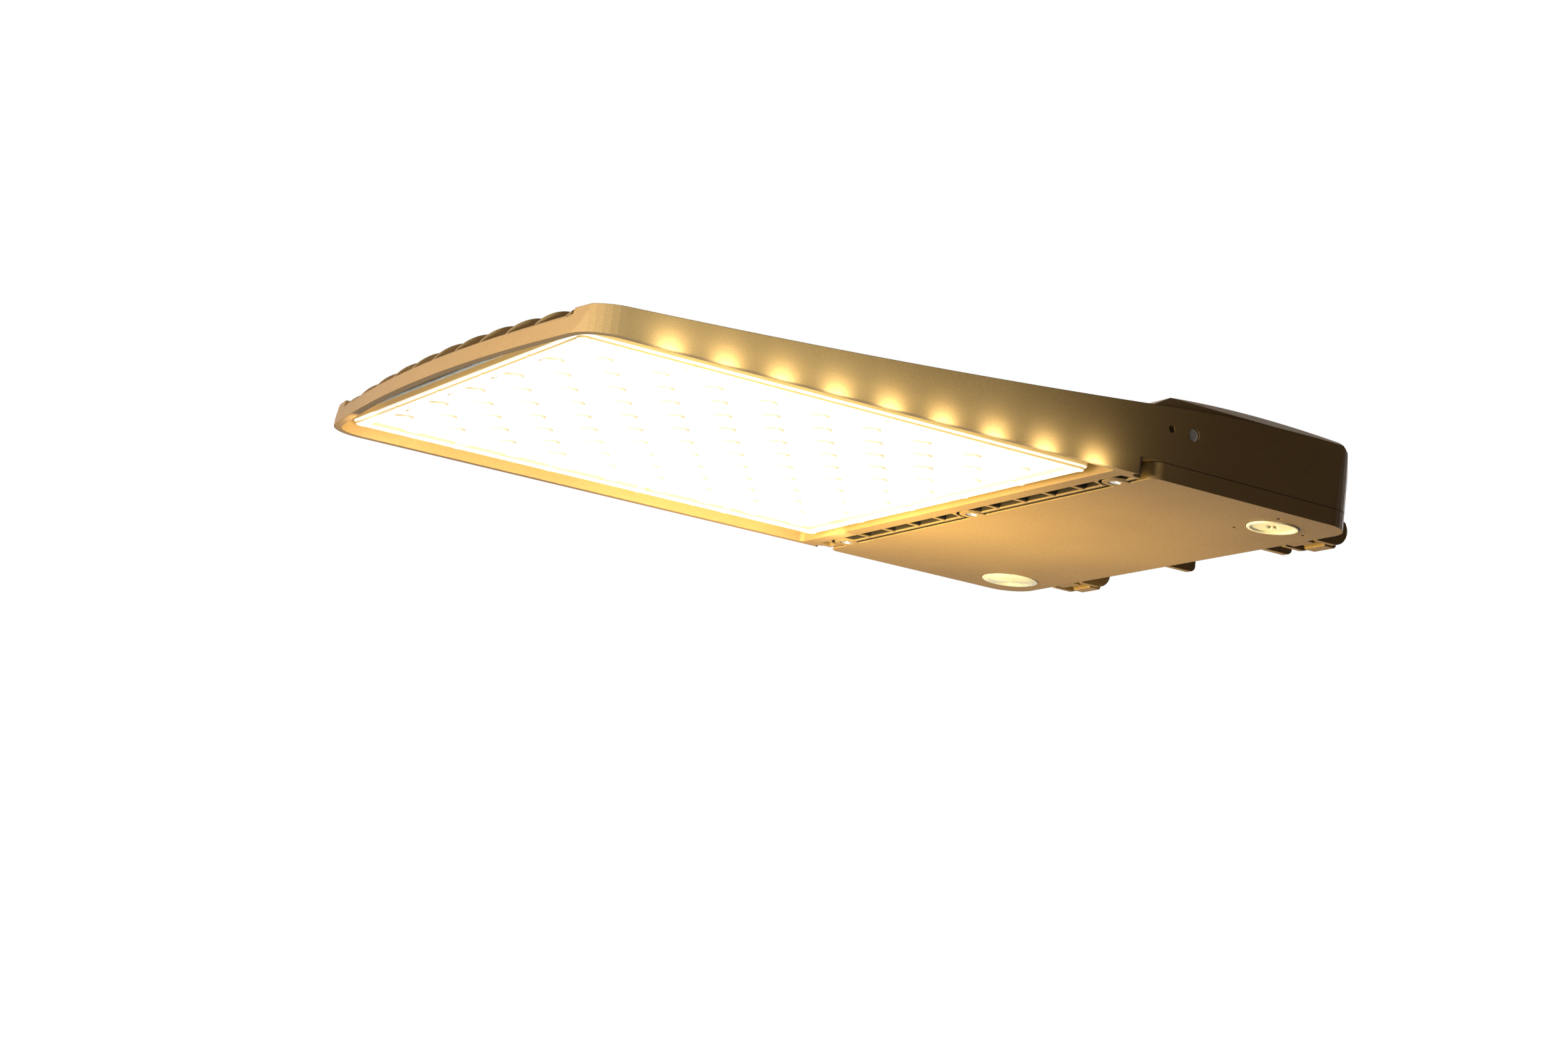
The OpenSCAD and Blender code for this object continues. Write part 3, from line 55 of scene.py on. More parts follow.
# %% Drawing places
MM = 0.001
ARM_FACE_X = 168.0
ARM_FACE_Z = 29.1
SIDES = {"near": -158.0, "mid": 0.0, "far": 158.0}


def spot(x, y, z):
    return Vector(((x - ARM_FACE_X) * MM, y * MM, (z - ARM_FACE_Z) * MM))


print("underside of the nose:", [round(v, 4) for v in spot(-395, 0, 0)])

# %% [markdown]
# ## Camera
# The photograph looks up at the light from below its near side, with a slight roll. The camera's place and
# its directions were worked out from the light's straight edges, which run along X, Y and Z. Shift and depth
# of field stay off, so that every other view of the scene works as well.

# %% Camera
CAMERA_PLACE = Vector((-1.2437, -1.6855, -0.4739))
CAMERA_RIGHT = Vector((0.8555, -0.5040, 0.1185))
CAMERA_UP = Vector((-0.2062, -0.1217, 0.9709))
CAMERA_SENSOR = 36.0
CAMERA_LENS = 71.54

camera_data = bpy.data.cameras.new("photo_camera")
camera_data.sensor_width = CAMERA_SENSOR
camera_data.lens = CAMERA_LENS
camera = bpy.data.objects.new("photo_camera", camera_data)
bpy.context.scene.collection.objects.link(camera)
back = CAMERA_RIGHT.cross(CAMERA_UP).normalized()
up = back.cross(CAMERA_RIGHT).normalized()
turn = Matrix((CAMERA_RIGHT.normalized(), up, back)).transposed()
camera.matrix_world = Matrix.Translation(CAMERA_PLACE) @ turn.to_4x4()
bpy.context.scene.camera = camera
print("camera looks along", [round(v, 3) for v in -back])

# %% [markdown]
# ## Shader maths as Python
# A procedural finish is arithmetic on patterns. Wiring Math nodes by hand hides that arithmetic, so a small
# class wraps one node socket and turns Python's operators into Math nodes. Every node comes from one
# function, which takes its settings first and then the values or links of its sockets.

# %% A socket that does arithmetic


class Wire:
    def __init__(self, tree, socket):
        self.tree = tree
        self.socket = socket

    def maths(self, operation, first, second=None):
        return add_node(self.tree, "ShaderNodeMath", {"operation": operation}, {0: first, 1: second})

    def __add__(self, other):
        return self.maths("ADD", self, other)

    __radd__ = __add__

    def __sub__(self, other):
        return self.maths("SUBTRACT", self, other)

    def __rsub__(self, other):
        return self.maths("SUBTRACT", other, self)

    def __mul__(self, other):
        return self.maths("MULTIPLY", self, other)

    __rmul__ = __mul__

    def __truediv__(self, other):
        return self.maths("DIVIDE", self, other)

    def __pow__(self, other):
        return self.maths("POWER", self, other)

    def above(self, edge):
        return self.maths("GREATER_THAN", self, edge)

    def least(self, other):
        return self.maths("MINIMUM", self, other)

    def size(self):
        return self.maths("ABSOLUTE", self)

    def repeat(self, length):
        return self.maths("PINGPONG", self, length)

    def ramp(self, low, high, out_low=0.0, out_high=1.0):
        return add_node(self.tree, "ShaderNodeMapRange", None,
                        {"Value": self, "From Min": low, "From Max": high, "To Min": out_low,
                         "To Max": out_high})


def feed(tree, socket, value):
    if value is None:
        return
    if isinstance(value, Wire):
        tree.links.new(value.socket, socket)
    else:
        socket.default_value = value


def add_node(tree, kind, settings=None, inputs=None, output=0):
    node = tree.nodes.new(kind)
    for name, value in (settings or {}).items():
        setattr(node, name, value)
    for socket, value in (inputs or {}).items():
        feed(tree, node.inputs[socket], value)
    return Wire(tree, node.outputs[output])


print("operators ready:", [n for n in ("__add__", "__sub__", "__mul__", "__pow__") if hasattr(Wire, n)])

# %% [markdown]
# ## One recipe for every finish
# Each finish starts from a Principled shader. Numbers that are the same all over go straight on its own
# sockets, where an export finds them. Only colour, roughness, emission and the surface's fine relief vary
# from place to place. Colours are mixed with Mix nodes, because a Math node would turn them grey. Sizes of
# patterns, depths and rounded edges are given in millimetres.

# %% Finish


class Finish:
    def __init__(self, name, colour, roughness=0.5, metallic=0.0, **sockets):
        self.material = bpy.data.materials.new(name)
        self.material.use_nodes = True
        self.tree = self.material.node_tree
        self.shader = self.tree.nodes["Principled BSDF"]
        self.set("Base Color", (*colour, 1.0))
        self.set("Roughness", roughness)
        self.set("Metallic", metallic)
        for socket, value in sockets.items():
            self.set(socket.replace("_", " "), value)
        self.material.diffuse_color = (*colour, 1.0)

    def set(self, socket, value):
        feed(self.tree, self.shader.inputs[socket], value)

    def node(self, kind, settings=None, inputs=None, output=0):
        return add_node(self.tree, kind, settings, inputs, output)

    def place(self):
        return self.node("ShaderNodeTexCoord", output="Object")

    def axes(self, vector=None):
        """Three wires with the X, Y and Z of a vector, or of the place in metres."""
        source = vector or self.place()
        return [self.node("ShaderNodeSeparateXYZ", None, {0: source}, i) for i in range(3)]

    def drawing_axes(self):
        """Three wires with the drawing place, in millimetres."""
        along, across, height = self.axes()
        return along / MM + ARM_FACE_X, across / MM, height / MM + ARM_FACE_Z

    def stretched(self, scale):
        return self.node("ShaderNodeMapping", {"vector_type": "POINT"},
                         {"Vector": self.place(), "Scale": scale})

    def noise(self, size, detail=2.0, rough=0.5, vector=None):
        return self.node("ShaderNodeTexNoise", {"noise_dimensions": "3D"},
                         {"Vector": vector or self.place(), "Scale": 1 / (size * MM), "Detail": detail,
                          "Roughness": rough})

    def blend(self, factor, first, second):
        return self.node("ShaderNodeMix", {"data_type": "RGBA"},
                         {"Factor": factor, "A": first if isinstance(first, Wire) else (*first, 1.0),
                          "B": second if isinstance(second, Wire) else (*second, 1.0)}, "Result")

    def relief(self, height, depth, strength=1.0, round_edges=0.0):
        """A bump, over edges that the light sees as rounded by round_edges."""
        inputs = {"Height": height, "Distance": depth * MM, "Strength": strength}
        if round_edges:
            inputs["Normal"] = self.node("ShaderNodeBevel", {"samples": 4}, {"Radius": round_edges * MM})
        self.set("Normal", self.node("ShaderNodeBump", None, inputs))

    def on(self, *objects):
        for piece in objects:
            piece.data.materials.clear()
            piece.data.materials.append(self.material)
            for face in piece.data.polygons:
                face.material_index = 0


print("finish helper ready")

# %% [markdown]
# ## Bronze powder coat
# Powder coat is a baked plastic film. Close up it has a fine orange peel with metal flakes of slightly
# different lightness in it, and die-cast edges are never sharp, so a Bevel node rounds them for the light.
# The colour drifts a little over large areas, where the film is thicker. In the photograph the vent windows
# and the groove along the door's front edge are in deep shade. The lamps here reach further in, so a mask
# made from the drawing place paints that shade. It is a painted shadow and not a second coat.

# %% Bronze powder coat
BRONZE = (0.1, 0.054, 0.019)
BRONZE_PALE = (0.14, 0.08, 0.031)
VENT_SHADE = (0.012, 0.008, 0.005)
VENT_X, VENT_HALF_LENGTH, VENT_HALF_WIDTH = -2.3, 7.8, 172.0
VENT_BOTTOM, VENT_TOP = 0.4, 16.0


def vent_mask(coat):
    """1 in the windows and the groove and 0 outside, with an edge that is soft over part of a millimetre."""
    x, y, z = coat.drawing_axes()
    return ((x - VENT_X).size().ramp(VENT_HALF_LENGTH, VENT_HALF_LENGTH + 0.3, 1.0, 0.0)
            * y.size().ramp(VENT_HALF_WIDTH, VENT_HALF_WIDTH + 2.0, 1.0, 0.0)
            * z.ramp(VENT_BOTTOM, VENT_BOTTOM + 0.4)
            * z.ramp(VENT_TOP, VENT_TOP + 2.0, 1.0, 0.0))


def powder_coat(name, edge):
    coat = Finish(name, BRONZE, 0.42, 0.0, Specular_IOR_Level=0.07, Specular_Tint=(1.0, 0.76, 0.46, 1.0))
    drift = coat.noise(110, 3.0)
    flakes = coat.noise(0.9, 1.0)
    peel = coat.noise(1.6, 2.0, 0.6)
    grain = coat.noise(0.5, 1.0)
    tone = (drift.ramp(0.3, 0.7, 0.0, 0.45) + flakes.ramp(0.45, 0.75, 0.0, 0.4)).least(1.0)
    film = coat.blend(tone, BRONZE, BRONZE_PALE)
    coat.set("Base Color", coat.blend(vent_mask(coat), film, VENT_SHADE))
    coat.set("Roughness", peel.ramp(0.3, 0.7, 0.38, 0.5))
    coat.relief(peel * 0.7 + grain * 0.3, 0.06, 0.5, edge)
    return coat


CASTING_EDGE, DOOR_EDGE = 0.9, 0.7
powder_coat("bronze_casting", CASTING_EDGE).on(nodes["housing"])
powder_coat("bronze_door", DOOR_EDGE).on(nodes["door"])
print("coated the casting and the door")

# %% [markdown]
# ## Metals
# Turned screws and pins show fine rings, and a zinc finish clouds over in patches. The driver's case is a
# brushed aluminium extrusion, so its scratches all run one way: a noise pattern that is squeezed along one
# axis gives them.

# %% Turned metals


def turned_metal(name, colour, roughness, edge=0.2):
    metal = Finish(name, colour, roughness, 1.0)
    clouds = metal.noise(4, 3.0)
    scratches = metal.noise(0.3, 2.0, 0.6)
    metal.set("Base Color", metal.blend(clouds.ramp(0.35, 0.7), colour, tuple(v * 0.82 for v in colour)))
    metal.set("Roughness", (clouds * 0.5 + scratches * 0.5).ramp(0.3, 0.7, roughness * 0.75,
                                                                 roughness * 1.3))
    metal.relief(scratches, 0.02, 0.4, edge)
    return metal


steel = turned_metal("stainless_steel", (0.72, 0.72, 0.73), 0.28)
spring = turned_metal("spring_steel", (0.5, 0.51, 0.53), 0.35)
green_steel = turned_metal("green_passivated_steel", (0.14, 0.42, 0.2), 0.4)
METAL_PIECES = ((steel, ("board_screws", "driver_screws", "surge_screws", "terminal_screws",
                         "hinge_pin_near", "hinge_pin_far")),
                (spring, tuple(f"screw_clip_{side}" for side in SIDES)), (green_steel, ("ground_screw",)))
for finish, names in METAL_PIECES:
    finish.on(*(nodes[name] for name in names))
print("turned pieces:", sum(len(names) for _, names in METAL_PIECES))

# %% Brushed case
SQUEEZED = (1.0, 0.05, 1.0)
case = Finish("brushed_aluminium_case", (0.74, 0.75, 0.76), 0.34, 1.0)
brushed = case.noise(1.2, 3.0, 0.6, case.stretched(SQUEEZED))
case.set("Base Color", case.blend(brushed.ramp(0.3, 0.7), (0.78, 0.79, 0.8), (0.66, 0.67, 0.69)))
case.set("Roughness", brushed.ramp(0.3, 0.7, 0.26, 0.44))
case.relief(brushed, 0.04, 0.5, 0.6)
case.on(nodes["driver"])
print("brushed the driver's case")

# %% [markdown]
# ## Plastics and rubber
# Moulded plastic takes the fine spark texture of its mould, gloss plastic hardly any. Rubber is duller and
# a little dusty. One function makes them all: a colour, a second colour that it drifts to, the roughness and
# the size and depth of the texture. The plug's cream is written darker than such plastic is, so that it
# doesn't clip to white beside the lit optic.

# %% Plastics and rubber


def moulded(name, colour, drift_to, roughness, grain=0.5, depth=0.04, edge=0.4):
    plastic = Finish(name, colour, roughness)
    drift = plastic.noise(20, 3.0)
    spark = plastic.noise(grain, 2.0, 0.6)
    plastic.set("Base Color", plastic.blend(drift.ramp(0.3, 0.75) * 0.7 + spark.ramp(0.4, 0.7) * 0.3,
                                            colour, drift_to))
    plastic.set("Roughness", spark.ramp(0.3, 0.7, roughness * 0.85, roughness * 1.15))
    plastic.relief(spark, depth, 0.5, edge)
    return plastic


rubber = moulded("black_rubber", (0.03, 0.03, 0.03), (0.05, 0.048, 0.045), 0.75)
foam = moulded("silicone_foam", (0.05, 0.05, 0.05), (0.075, 0.072, 0.07), 0.9, 0.7, 0.2)
grey_silicone = moulded("grey_silicone", (0.6, 0.58, 0.54), (0.5, 0.48, 0.45), 0.7)
nylon = moulded("white_nylon", (0.86, 0.86, 0.83), (0.78, 0.77, 0.72), 0.5)
cream_nylon = moulded("cream_nylon", (0.8, 0.76, 0.62), (0.72, 0.67, 0.52), 0.55)
cream_gloss = moulded("cream_plug", (0.46, 0.38, 0.23), (0.41, 0.34, 0.2), 0.32, 0.6, 0.03)
grey_nylon = moulded("grey_nylon", (0.35, 0.35, 0.35), (0.28, 0.28, 0.28), 0.6)
dark_case = moulded("sensor_case", (0.12, 0.13, 0.14), (0.09, 0.095, 0.1), 0.5)
red_case = moulded("red_surge_case", (0.5, 0.08, 0.05), (0.42, 0.06, 0.04), 0.45)
PLASTIC_PIECES = ((rubber, ("lead_grommet", "arm_grommet", "plug_seal", "sensor_seal")),
                  (foam, ("door_gasket",)), (grey_silicone, ("lens_gasket",)),
                  (nylon, ("board_connectors", "terminal_block")), (cream_nylon, ("plug_nut",)),
                  (grey_nylon, ("breather_vent",)), (dark_case, ("sensor_module",)),
                  (red_case, ("surge_protector",)))
for finish, names in PLASTIC_PIECES:
    finish.on(*(nodes[name] for name in names))
print("plastic and rubber pieces:", sum(len(names) for _, names in PLASTIC_PIECES))

# %% [markdown]
# ## Circuit boards
# The white solder mask is slightly glossy, and the copper tracks below it show as faint raised lines. Two
# square-wave patterns along X and Y make the grid of tracks.

# %% Circuit boards
TRACK_PITCH_X, TRACK_PITCH_Y, TRACK_WIDTH = 9.1 * MM, 13.5 * MM, 1.3 * MM
board = Finish("white_circuit_board", (0.92, 0.92, 0.9), 0.35)
along, across, _ = board.axes()
tracks = (along.repeat(TRACK_PITCH_X).above(TRACK_PITCH_X - TRACK_WIDTH)
          + across.repeat(TRACK_PITCH_Y).above(TRACK_PITCH_Y - TRACK_WIDTH)).least(1.0)
board.set("Base Color", board.blend(tracks, (0.92, 0.92, 0.9), (0.8, 0.81, 0.77)))
board.set("Roughness", tracks.ramp(0.0, 1.0, 0.34, 0.42))
board.relief(tracks, 0.04, 0.6)
board.on(nodes["led_board_front"], nodes["led_board_rear"])
print("board finish done")

# %% [markdown]
# ## Building meshes
# The pieces that replace CAD solids are made in mesh code. Three tools do nearly all of it: rings of points
# joined one after another (a loft), a profile turned round an axis (a lathe), and a helper that makes an
# object, shades it, and lets it ride on its body.

# %% Mesh helpers


def piece_from(name, mesh, body, finish, smooth=0.6):
    """Makes the object. Edges that turn by more than smooth, in radians, stay sharp."""
    for face in mesh.faces:
        face.smooth = True
    data = bpy.data.meshes.new(name)
    bmesh.ops.recalc_face_normals(mesh, faces=mesh.faces)
    mesh.to_mesh(data)
    mesh.free()
    piece = bpy.data.objects.new(name, data)
    bpy.context.scene.collection.objects.link(piece)
    data.set_sharp_from_angle(angle=smooth)
    finish.on(piece)
    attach(piece, body)
    return piece


def loft(mesh, rings, caps=True):
    """Joins rings of points, each with as many points as the last, and caps both ends."""
    rows = [[mesh.verts.new(p) for p in ring] for ring in rings]
    for low, high in zip(rows, rows[1:]):
        count = len(low)
        for i in range(count):
            j = (i + 1) % count
            mesh.faces.new((low[i], low[j], high[j], high[i]))
    if caps:
        mesh.faces.new(rows[0][::-1])
        mesh.faces.new(rows[-1])


def angles(steps, offset=0.0):
    return [2 * math.pi * (i + offset) / steps for i in range(steps)]


def circle(radius, height, steps):
    return [Vector((radius * math.cos(a), radius * math.sin(a), height)) * MM for a in angles(steps)]


def lathe(mesh, profile, centre, steps=48, inner=()):
    """Turns (radius, height) pairs round a vertical axis at centre. inner holds more rings, such as those of
    a recess with another outline, which are joined to the last pair's ring."""
    rings = [circle(r, z, steps) for r, z in profile] + list(inner)
    loft(mesh, [[centre + p for p in ring] for ring in rings])


print("mesh helpers ready")

# %% [markdown]
# ## The optic
# One moulded acrylic plate covers all the LEDs. Its rim is thicker, has a soft step on its outer side, and
# carries a round boss at each screw. The plate is drawn as rings that follow its outline, each with its own
# inset and height, so one profile makes the rim, the step and the pocket over the circuit boards.

# %% Optic outline
LENS_FRONT, LENS_REAR = -374.0, -24.0
LENS_HALF = 165.0
LENS_CORNER = 6.0
LENS_BOTTOM, LENS_TOP = 1.5, 8.5
PLATE_BOTTOM, PLATE_TOP = 4.5, 6.5
RIM, ROUND = 9.0, 0.6
SHARPEST_CORNER = 0.6


def outline(inset, height, corner_steps=6):
    """The lens's rounded outline, drawn in by inset, as points in order."""
    radius = max(LENS_CORNER - inset, SHARPEST_CORNER)
    x0, x1 = LENS_FRONT + inset + radius, LENS_REAR - inset - radius
    half = LENS_HALF - inset - radius
    points = []
    for cx, cy, start in ((x0, -half, 180), (x1, -half, 270), (x1, half, 0), (x0, half, 90)):
        for i in range(corner_steps + 1):
            angle = math.radians(start + 90 * i / corner_steps)
            points.append(spot(cx + radius * math.cos(angle), cy + radius * math.sin(angle), height))
    return points


# (inset, height) from the pocket's floor over the rim's top, down its outer step and back to the underside.
RIM_PROFILE = ((RIM, PLATE_TOP), (RIM, LENS_TOP - ROUND), (RIM - ROUND, LENS_TOP), (ROUND, LENS_TOP),
               (0.0, LENS_TOP - ROUND), (0.0, 4.1), (0.5, 3.6), (1.9, 3.5), (2.4, 3.1), (2.5, 2.0),
               (3.0, LENS_BOTTOM), (8.3, LENS_BOTTOM), (RIM, LENS_BOTTOM + ROUND), (RIM, PLATE_BOTTOM))
lens_mesh = bmesh.new()
loft(lens_mesh, [outline(inset, height) for inset, height in RIM_PROFILE])
print("rim faces:", len(lens_mesh.faces))

# %% [markdown]
# The LEDs stand in rows across the light. Every second row is shifted by half a pitch, so that the spots
# overlap on the ground. The lens screws are spread evenly round the rim.

# %% Places of LEDs and screws
LED_FIRST_X, LED_PITCH_X, LED_ROWS = -353.7, 18.2, 18
LED_PITCH_Y, LED_COLUMNS = 54.0, 6
SCREW_INSET, SCREWS_PER_SIDE = 6.5, 6


def led_places():
    for row in range(LED_ROWS):
        shift = -0.25 if row % 2 == 0 else 0.25
        for column in range(LED_COLUMNS):
            yield LED_FIRST_X + LED_PITCH_X * row, (column - (LED_COLUMNS - 1) / 2 + shift) * LED_PITCH_Y


def spread(low, high):
    return [low + (high - low) * i / (SCREWS_PER_SIDE - 1) for i in range(SCREWS_PER_SIDE)]


def lens_screw_places():
    xs = spread(LENS_FRONT + SCREW_INSET, LENS_REAR - SCREW_INSET)
    ys = spread(SCREW_INSET - LENS_HALF, LENS_HALF - SCREW_INSET)
    return [(x, y) for y in ys for x in (xs[0], xs[-1])] + [(x, y) for x in xs[1:-1] for y in (ys[0], ys[-1])]


print("optics:", len(list(led_places())), "screws:", len(lens_screw_places()))

# %% [markdown]
# ## Teardrops
# Each optic is a drop: a round dome over the LED that runs out to a point, so that the light spreads along
# the road. Its rings shrink towards the lowest point, and the tail is the same ring pulled out on one side.
# The drops hang on the plate's underside.

# %% Drops and bosses
TAIL = math.radians(152)
DROP_RADIUS, TAIL_REACH, TAIL_SHARPNESS = 4.6, 5.2, 6
DROP_LEVELS = ((0.3, 1.0), (-0.5, 0.98), (-1.5, 0.8), (-2.2, 0.5), (-2.5, 0.16))
BOSS_PROFILE = ((4.9, 3.0), (4.9, 1.75), (4.6, 1.5), (3.9, 1.5), (3.7, 1.7), (3.7, 3.0))


def drop_ring(x, y, height, scale, steps=20):
    ring = []
    for angle in angles(steps):
        towards_tail = max(math.cos(angle - TAIL), 0.0)
        radius = scale * (DROP_RADIUS + TAIL_REACH * towards_tail ** TAIL_SHARPNESS)
        ring.append(spot(x + radius * math.cos(angle), y + radius * math.sin(angle), height))
    return ring


for x, y in led_places():
    loft(lens_mesh, [drop_ring(x, y, PLATE_BOTTOM + level, scale) for level, scale in DROP_LEVELS])
for x, y in lens_screw_places():
    lathe(lens_mesh, BOSS_PROFILE, spot(x, y, 0), 32)
print("optic faces:", len(lens_mesh.faces))

# %% [markdown]
# ## Lit acrylic
# The light is on in the photograph, and the exposure leaves the optic nearly white, with the drops and the
# rim's steps just showing as warm edges. The optic really shines, but its glow here is painted light: emission
# on the acrylic stands in for the LEDs' light coming through it. It is strongest where the surface lies flat,
# a little weaker on the rim, and has a faint wave along X over the rows of LEDs. The steeper a face stands,
# the dimmer and warmer its glow and the darker and warmer its colour. This is painted shade that draws the
# edges of the drops and the rim's steps.

# %% Lit acrylic
LENS_MIDDLE_X = (LENS_FRONT + LENS_REAR) / 2
RIM_FROM_X, RIM_FROM_Y = 166.0, 156.0
GLOW_STRENGTH = 1.15
acrylic = Finish("lit_acrylic", (0.95, 0.92, 0.82), 0.12, 0.0, Specular_IOR_Level=0.5)
facing = acrylic.node("ShaderNodeNewGeometry", output="Normal")
flat = acrylic.axes(facing)[2].size()
x, y, _ = acrylic.drawing_axes()
row_wave = (x - LED_FIRST_X).repeat(LED_PITCH_X / 2) / (LED_PITCH_X / 2)
rim = ((x - LENS_MIDDLE_X).size().above(RIM_FROM_X) + y.size().above(RIM_FROM_Y)).least(1.0)
# Painted light and painted shade: the glow stands in for the LEDs' light through the acrylic, and steep faces
# get a dimmer, warmer glow and a darker, warmer colour.
glow = (flat ** 3.0).ramp(0.0, 1.0, 0.06, 1.0) * (1.0 - rim * 0.3) * (1.0 - row_wave * 0.1)
acrylic.set("Base Color", acrylic.blend(flat ** 2.0, (0.16, 0.1, 0.03), (0.4, 0.38, 0.33)))
acrylic.set("Emission Color", acrylic.blend(glow.least(1.0), (0.3, 0.16, 0.04), (1.0, 0.95, 0.8)))
acrylic.set("Emission Strength", GLOW_STRENGTH)
acrylic.set("Roughness", acrylic.noise(6, 2.0).ramp(0.3, 0.7, 0.08, 0.18))
acrylic.relief(acrylic.noise(9, 1.0), 0.2, 0.5)
lens_optic = piece_from("lens_optic", lens_mesh, "fixture", acrylic)
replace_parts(lens_optic, "lens")
print("optic box:", [round(v, 4) for v in lens_optic.dimensions])

# %% [markdown]
# ## LED packages
# A mid-power LED is a white plastic cup, 3.5 mm square, filled with yellow phosphor. The cup has a sloping
# inner wall, and the phosphor lies a little inside its rim. Each has a cut corner that marks the cathode.

# %% LED packages
LED_BOTTOM, LED_TOP = 7.7, 8.4
# (height, half width, cut corner) of each ring.
CUP_LEVELS = ((LED_TOP, 1.75, 0.5), (LED_BOTTOM + 0.05, 1.75, 0.5), (LED_BOTTOM, 1.7, 0.48),
              (LED_BOTTOM, 1.45, 0.4), (LED_BOTTOM + 0.22, 1.2, 0.3))
PHOSPHOR_LEVELS = ((LED_BOTTOM + 0.3, 1.22, 0.3), (LED_BOTTOM + 0.2, 1.22, 0.3), (LED_BOTTOM + 0.16, 0.9, 0.2))
PHOSPHOR_STRENGTH = 2.0


def square(x, y, z, half, cut):
    corners = ((-half + cut, -half), (half, -half), (half, half), (-half, half), (-half, -half + cut))
    return [spot(x + a, y + b, z) for a, b in corners]


cups, phosphor_faces = bmesh.new(), bmesh.new()
for x, y in led_places():
    for mesh, levels in ((cups, CUP_LEVELS), (phosphor_faces, PHOSPHOR_LEVELS)):
        loft(mesh, [square(x, y, *level) for level in levels])

cup_plastic = moulded("led_cup", (0.9, 0.9, 0.87), (0.82, 0.82, 0.78), 0.4, 0.3, 0.01)
phosphor = Finish("led_phosphor", (0.95, 0.78, 0.28))
crystals = phosphor.noise(0.2)
phosphor.set("Emission Color", phosphor.blend(crystals.ramp(0.3, 0.7), (1.0, 0.72, 0.3), (1.0, 0.84, 0.5)))
phosphor.set("Emission Strength", PHOSPHOR_STRENGTH)
phosphor.relief(crystals, 0.02, 0.5)
for name, mesh, finish in (("led_cups", cups, cup_plastic), ("led_phosphor", phosphor_faces, phosphor)):
    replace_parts(piece_from(name, mesh, "fixture", finish), "leds")
print("LED packages:", len(list(led_places())))

# %% [markdown]
# ## Screws
# Pan-head screws have a domed head with a hexagon socket. The lens screws and the door screws are the ones
# that a person on a ladder sees and turns. A door screw has a raised ring round a deep socket, as captive
# screws have. Both heads are turned profiles of (radius, height) pairs that end in a six-sided hole.

# %% Screw helper
HEX_HALF = math.pi / 6


def socket_head(mesh, centre, profile, socket_radius, top, depth, steps=32):
    """A turned head, with a six-sided socket that starts at top and goes depth deep. The socket's rings have
    as many points as the head's, spread over its six sides."""
    inner = []
    for radius, z in ((socket_radius * 1.06, top), (socket_radius, top + 0.15), (socket_radius, top + depth)):
        ring = []
        for angle in angles(steps):
            reach = radius * math.cos(HEX_HALF) / math.cos(angle % (2 * HEX_HALF) - HEX_HALF)
            ring.append(Vector((reach * math.cos(angle), reach * math.sin(angle), z)) * MM)
        inner.append(ring)
    inner.append(circle(socket_radius * 0.3, top + depth + 0.3, steps))
    lathe(mesh, profile, centre, steps, inner)


print("screw helper ready")

# %% Lens screws and door screws
LENS_SCREW_PROFILE = ((2.0, 12.3), (2.0, 4.4), (3.4, 4.3), (3.5, 4.1), (3.5, 3.0), (3.25, 2.35), (2.7, 2.0),
                      (1.9, 1.9))
DOOR_SCREW_PROFILE = ((2.2, 21.4), (2.5, 20.9), (2.5, 3.35), (3.8, 3.2), (4.0, 3.0), (4.0, 0.75), (3.85, 0.4),
                      (3.5, 0.22), (3.15, 0.35), (2.95, 0.7), (2.6, 0.85), (2.3, 0.6))

lens_screw_mesh = bmesh.new()
for x, y in lens_screw_places():
    socket_head(lens_screw_mesh, spot(x, y, 0), LENS_SCREW_PROFILE, 1.3, 1.9, 1.3)
lens_screw_finish = turned_metal("lens_screw_steel", (0.78, 0.76, 0.7), 0.22)
lens_screw_heads = piece_from("lens_screw_heads", lens_screw_mesh, "fixture", lens_screw_finish)
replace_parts(lens_screw_heads, "lens_screws")

door_screw_finish = turned_metal("door_screw_steel", (0.86, 0.83, 0.74), 0.25)
for side, y in SIDES.items():
    mesh = bmesh.new()
    socket_head(mesh, spot(0, y, 0), DOOR_SCREW_PROFILE, 1.6, 0.55, 1.7, 40)
    screw = piece_from(f"door_screw_{side}_detailed", mesh, f"door_screw_{side}", door_screw_finish)
    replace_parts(screw, f"door_screw_{side}")
print("screws drawn:", len(lens_screw_places()) + len(SIDES))

# %% [markdown]
# ## Threads in the side holes
# A mounting bracket screws into the tapped hole in each side wall, and the photograph shows the ridges of its
# thread. The thread is a row of shallow cones on the hole's wall, which from outside look the same as a
# helix: an M8 thread has a pitch of 1.25 mm.

# %% Side threads
TAPPED_X, TAPPED_Z, WALL_Y = 32.8, 33.1, 189.3
THREAD_PITCH, THREAD_FROM, THREAD_TO = 1.25, 1.6, 13.6
ROOT, CREST = 3.98, 3.4
RIDGE = ((ROOT, 0.0), (ROOT, 0.2), (CREST, 0.55), (CREST, 0.75))

thread_mesh = bmesh.new()
for side in (-1, 1):
    rings = []
    depth = THREAD_FROM
    while depth < THREAD_TO:
        for radius, step in RIDGE:
            rings.append([spot(TAPPED_X + radius * math.cos(a), side * (WALL_Y - depth - step),
                               TAPPED_Z + radius * math.sin(a)) for a in angles(32)])
        depth += THREAD_PITCH
    loft(thread_mesh, rings, caps=False)
cut_metal = turned_metal("cut_thread", (0.2, 0.17, 0.14), 0.4)
side_threads = piece_from("side_threads", thread_mesh, "fixture", cut_metal, 0.3)
print("threads in both walls, faces:", len(side_threads.data.polygons))

# %% [markdown]
# ## Blanking plug
# The cream plug closes the opening for a light control. It is moulded with a raised rim round a dished face,
# and a cross-shaped recess in the middle takes a screwdriver. Inside the door, its threaded shank takes the
# lock nut.

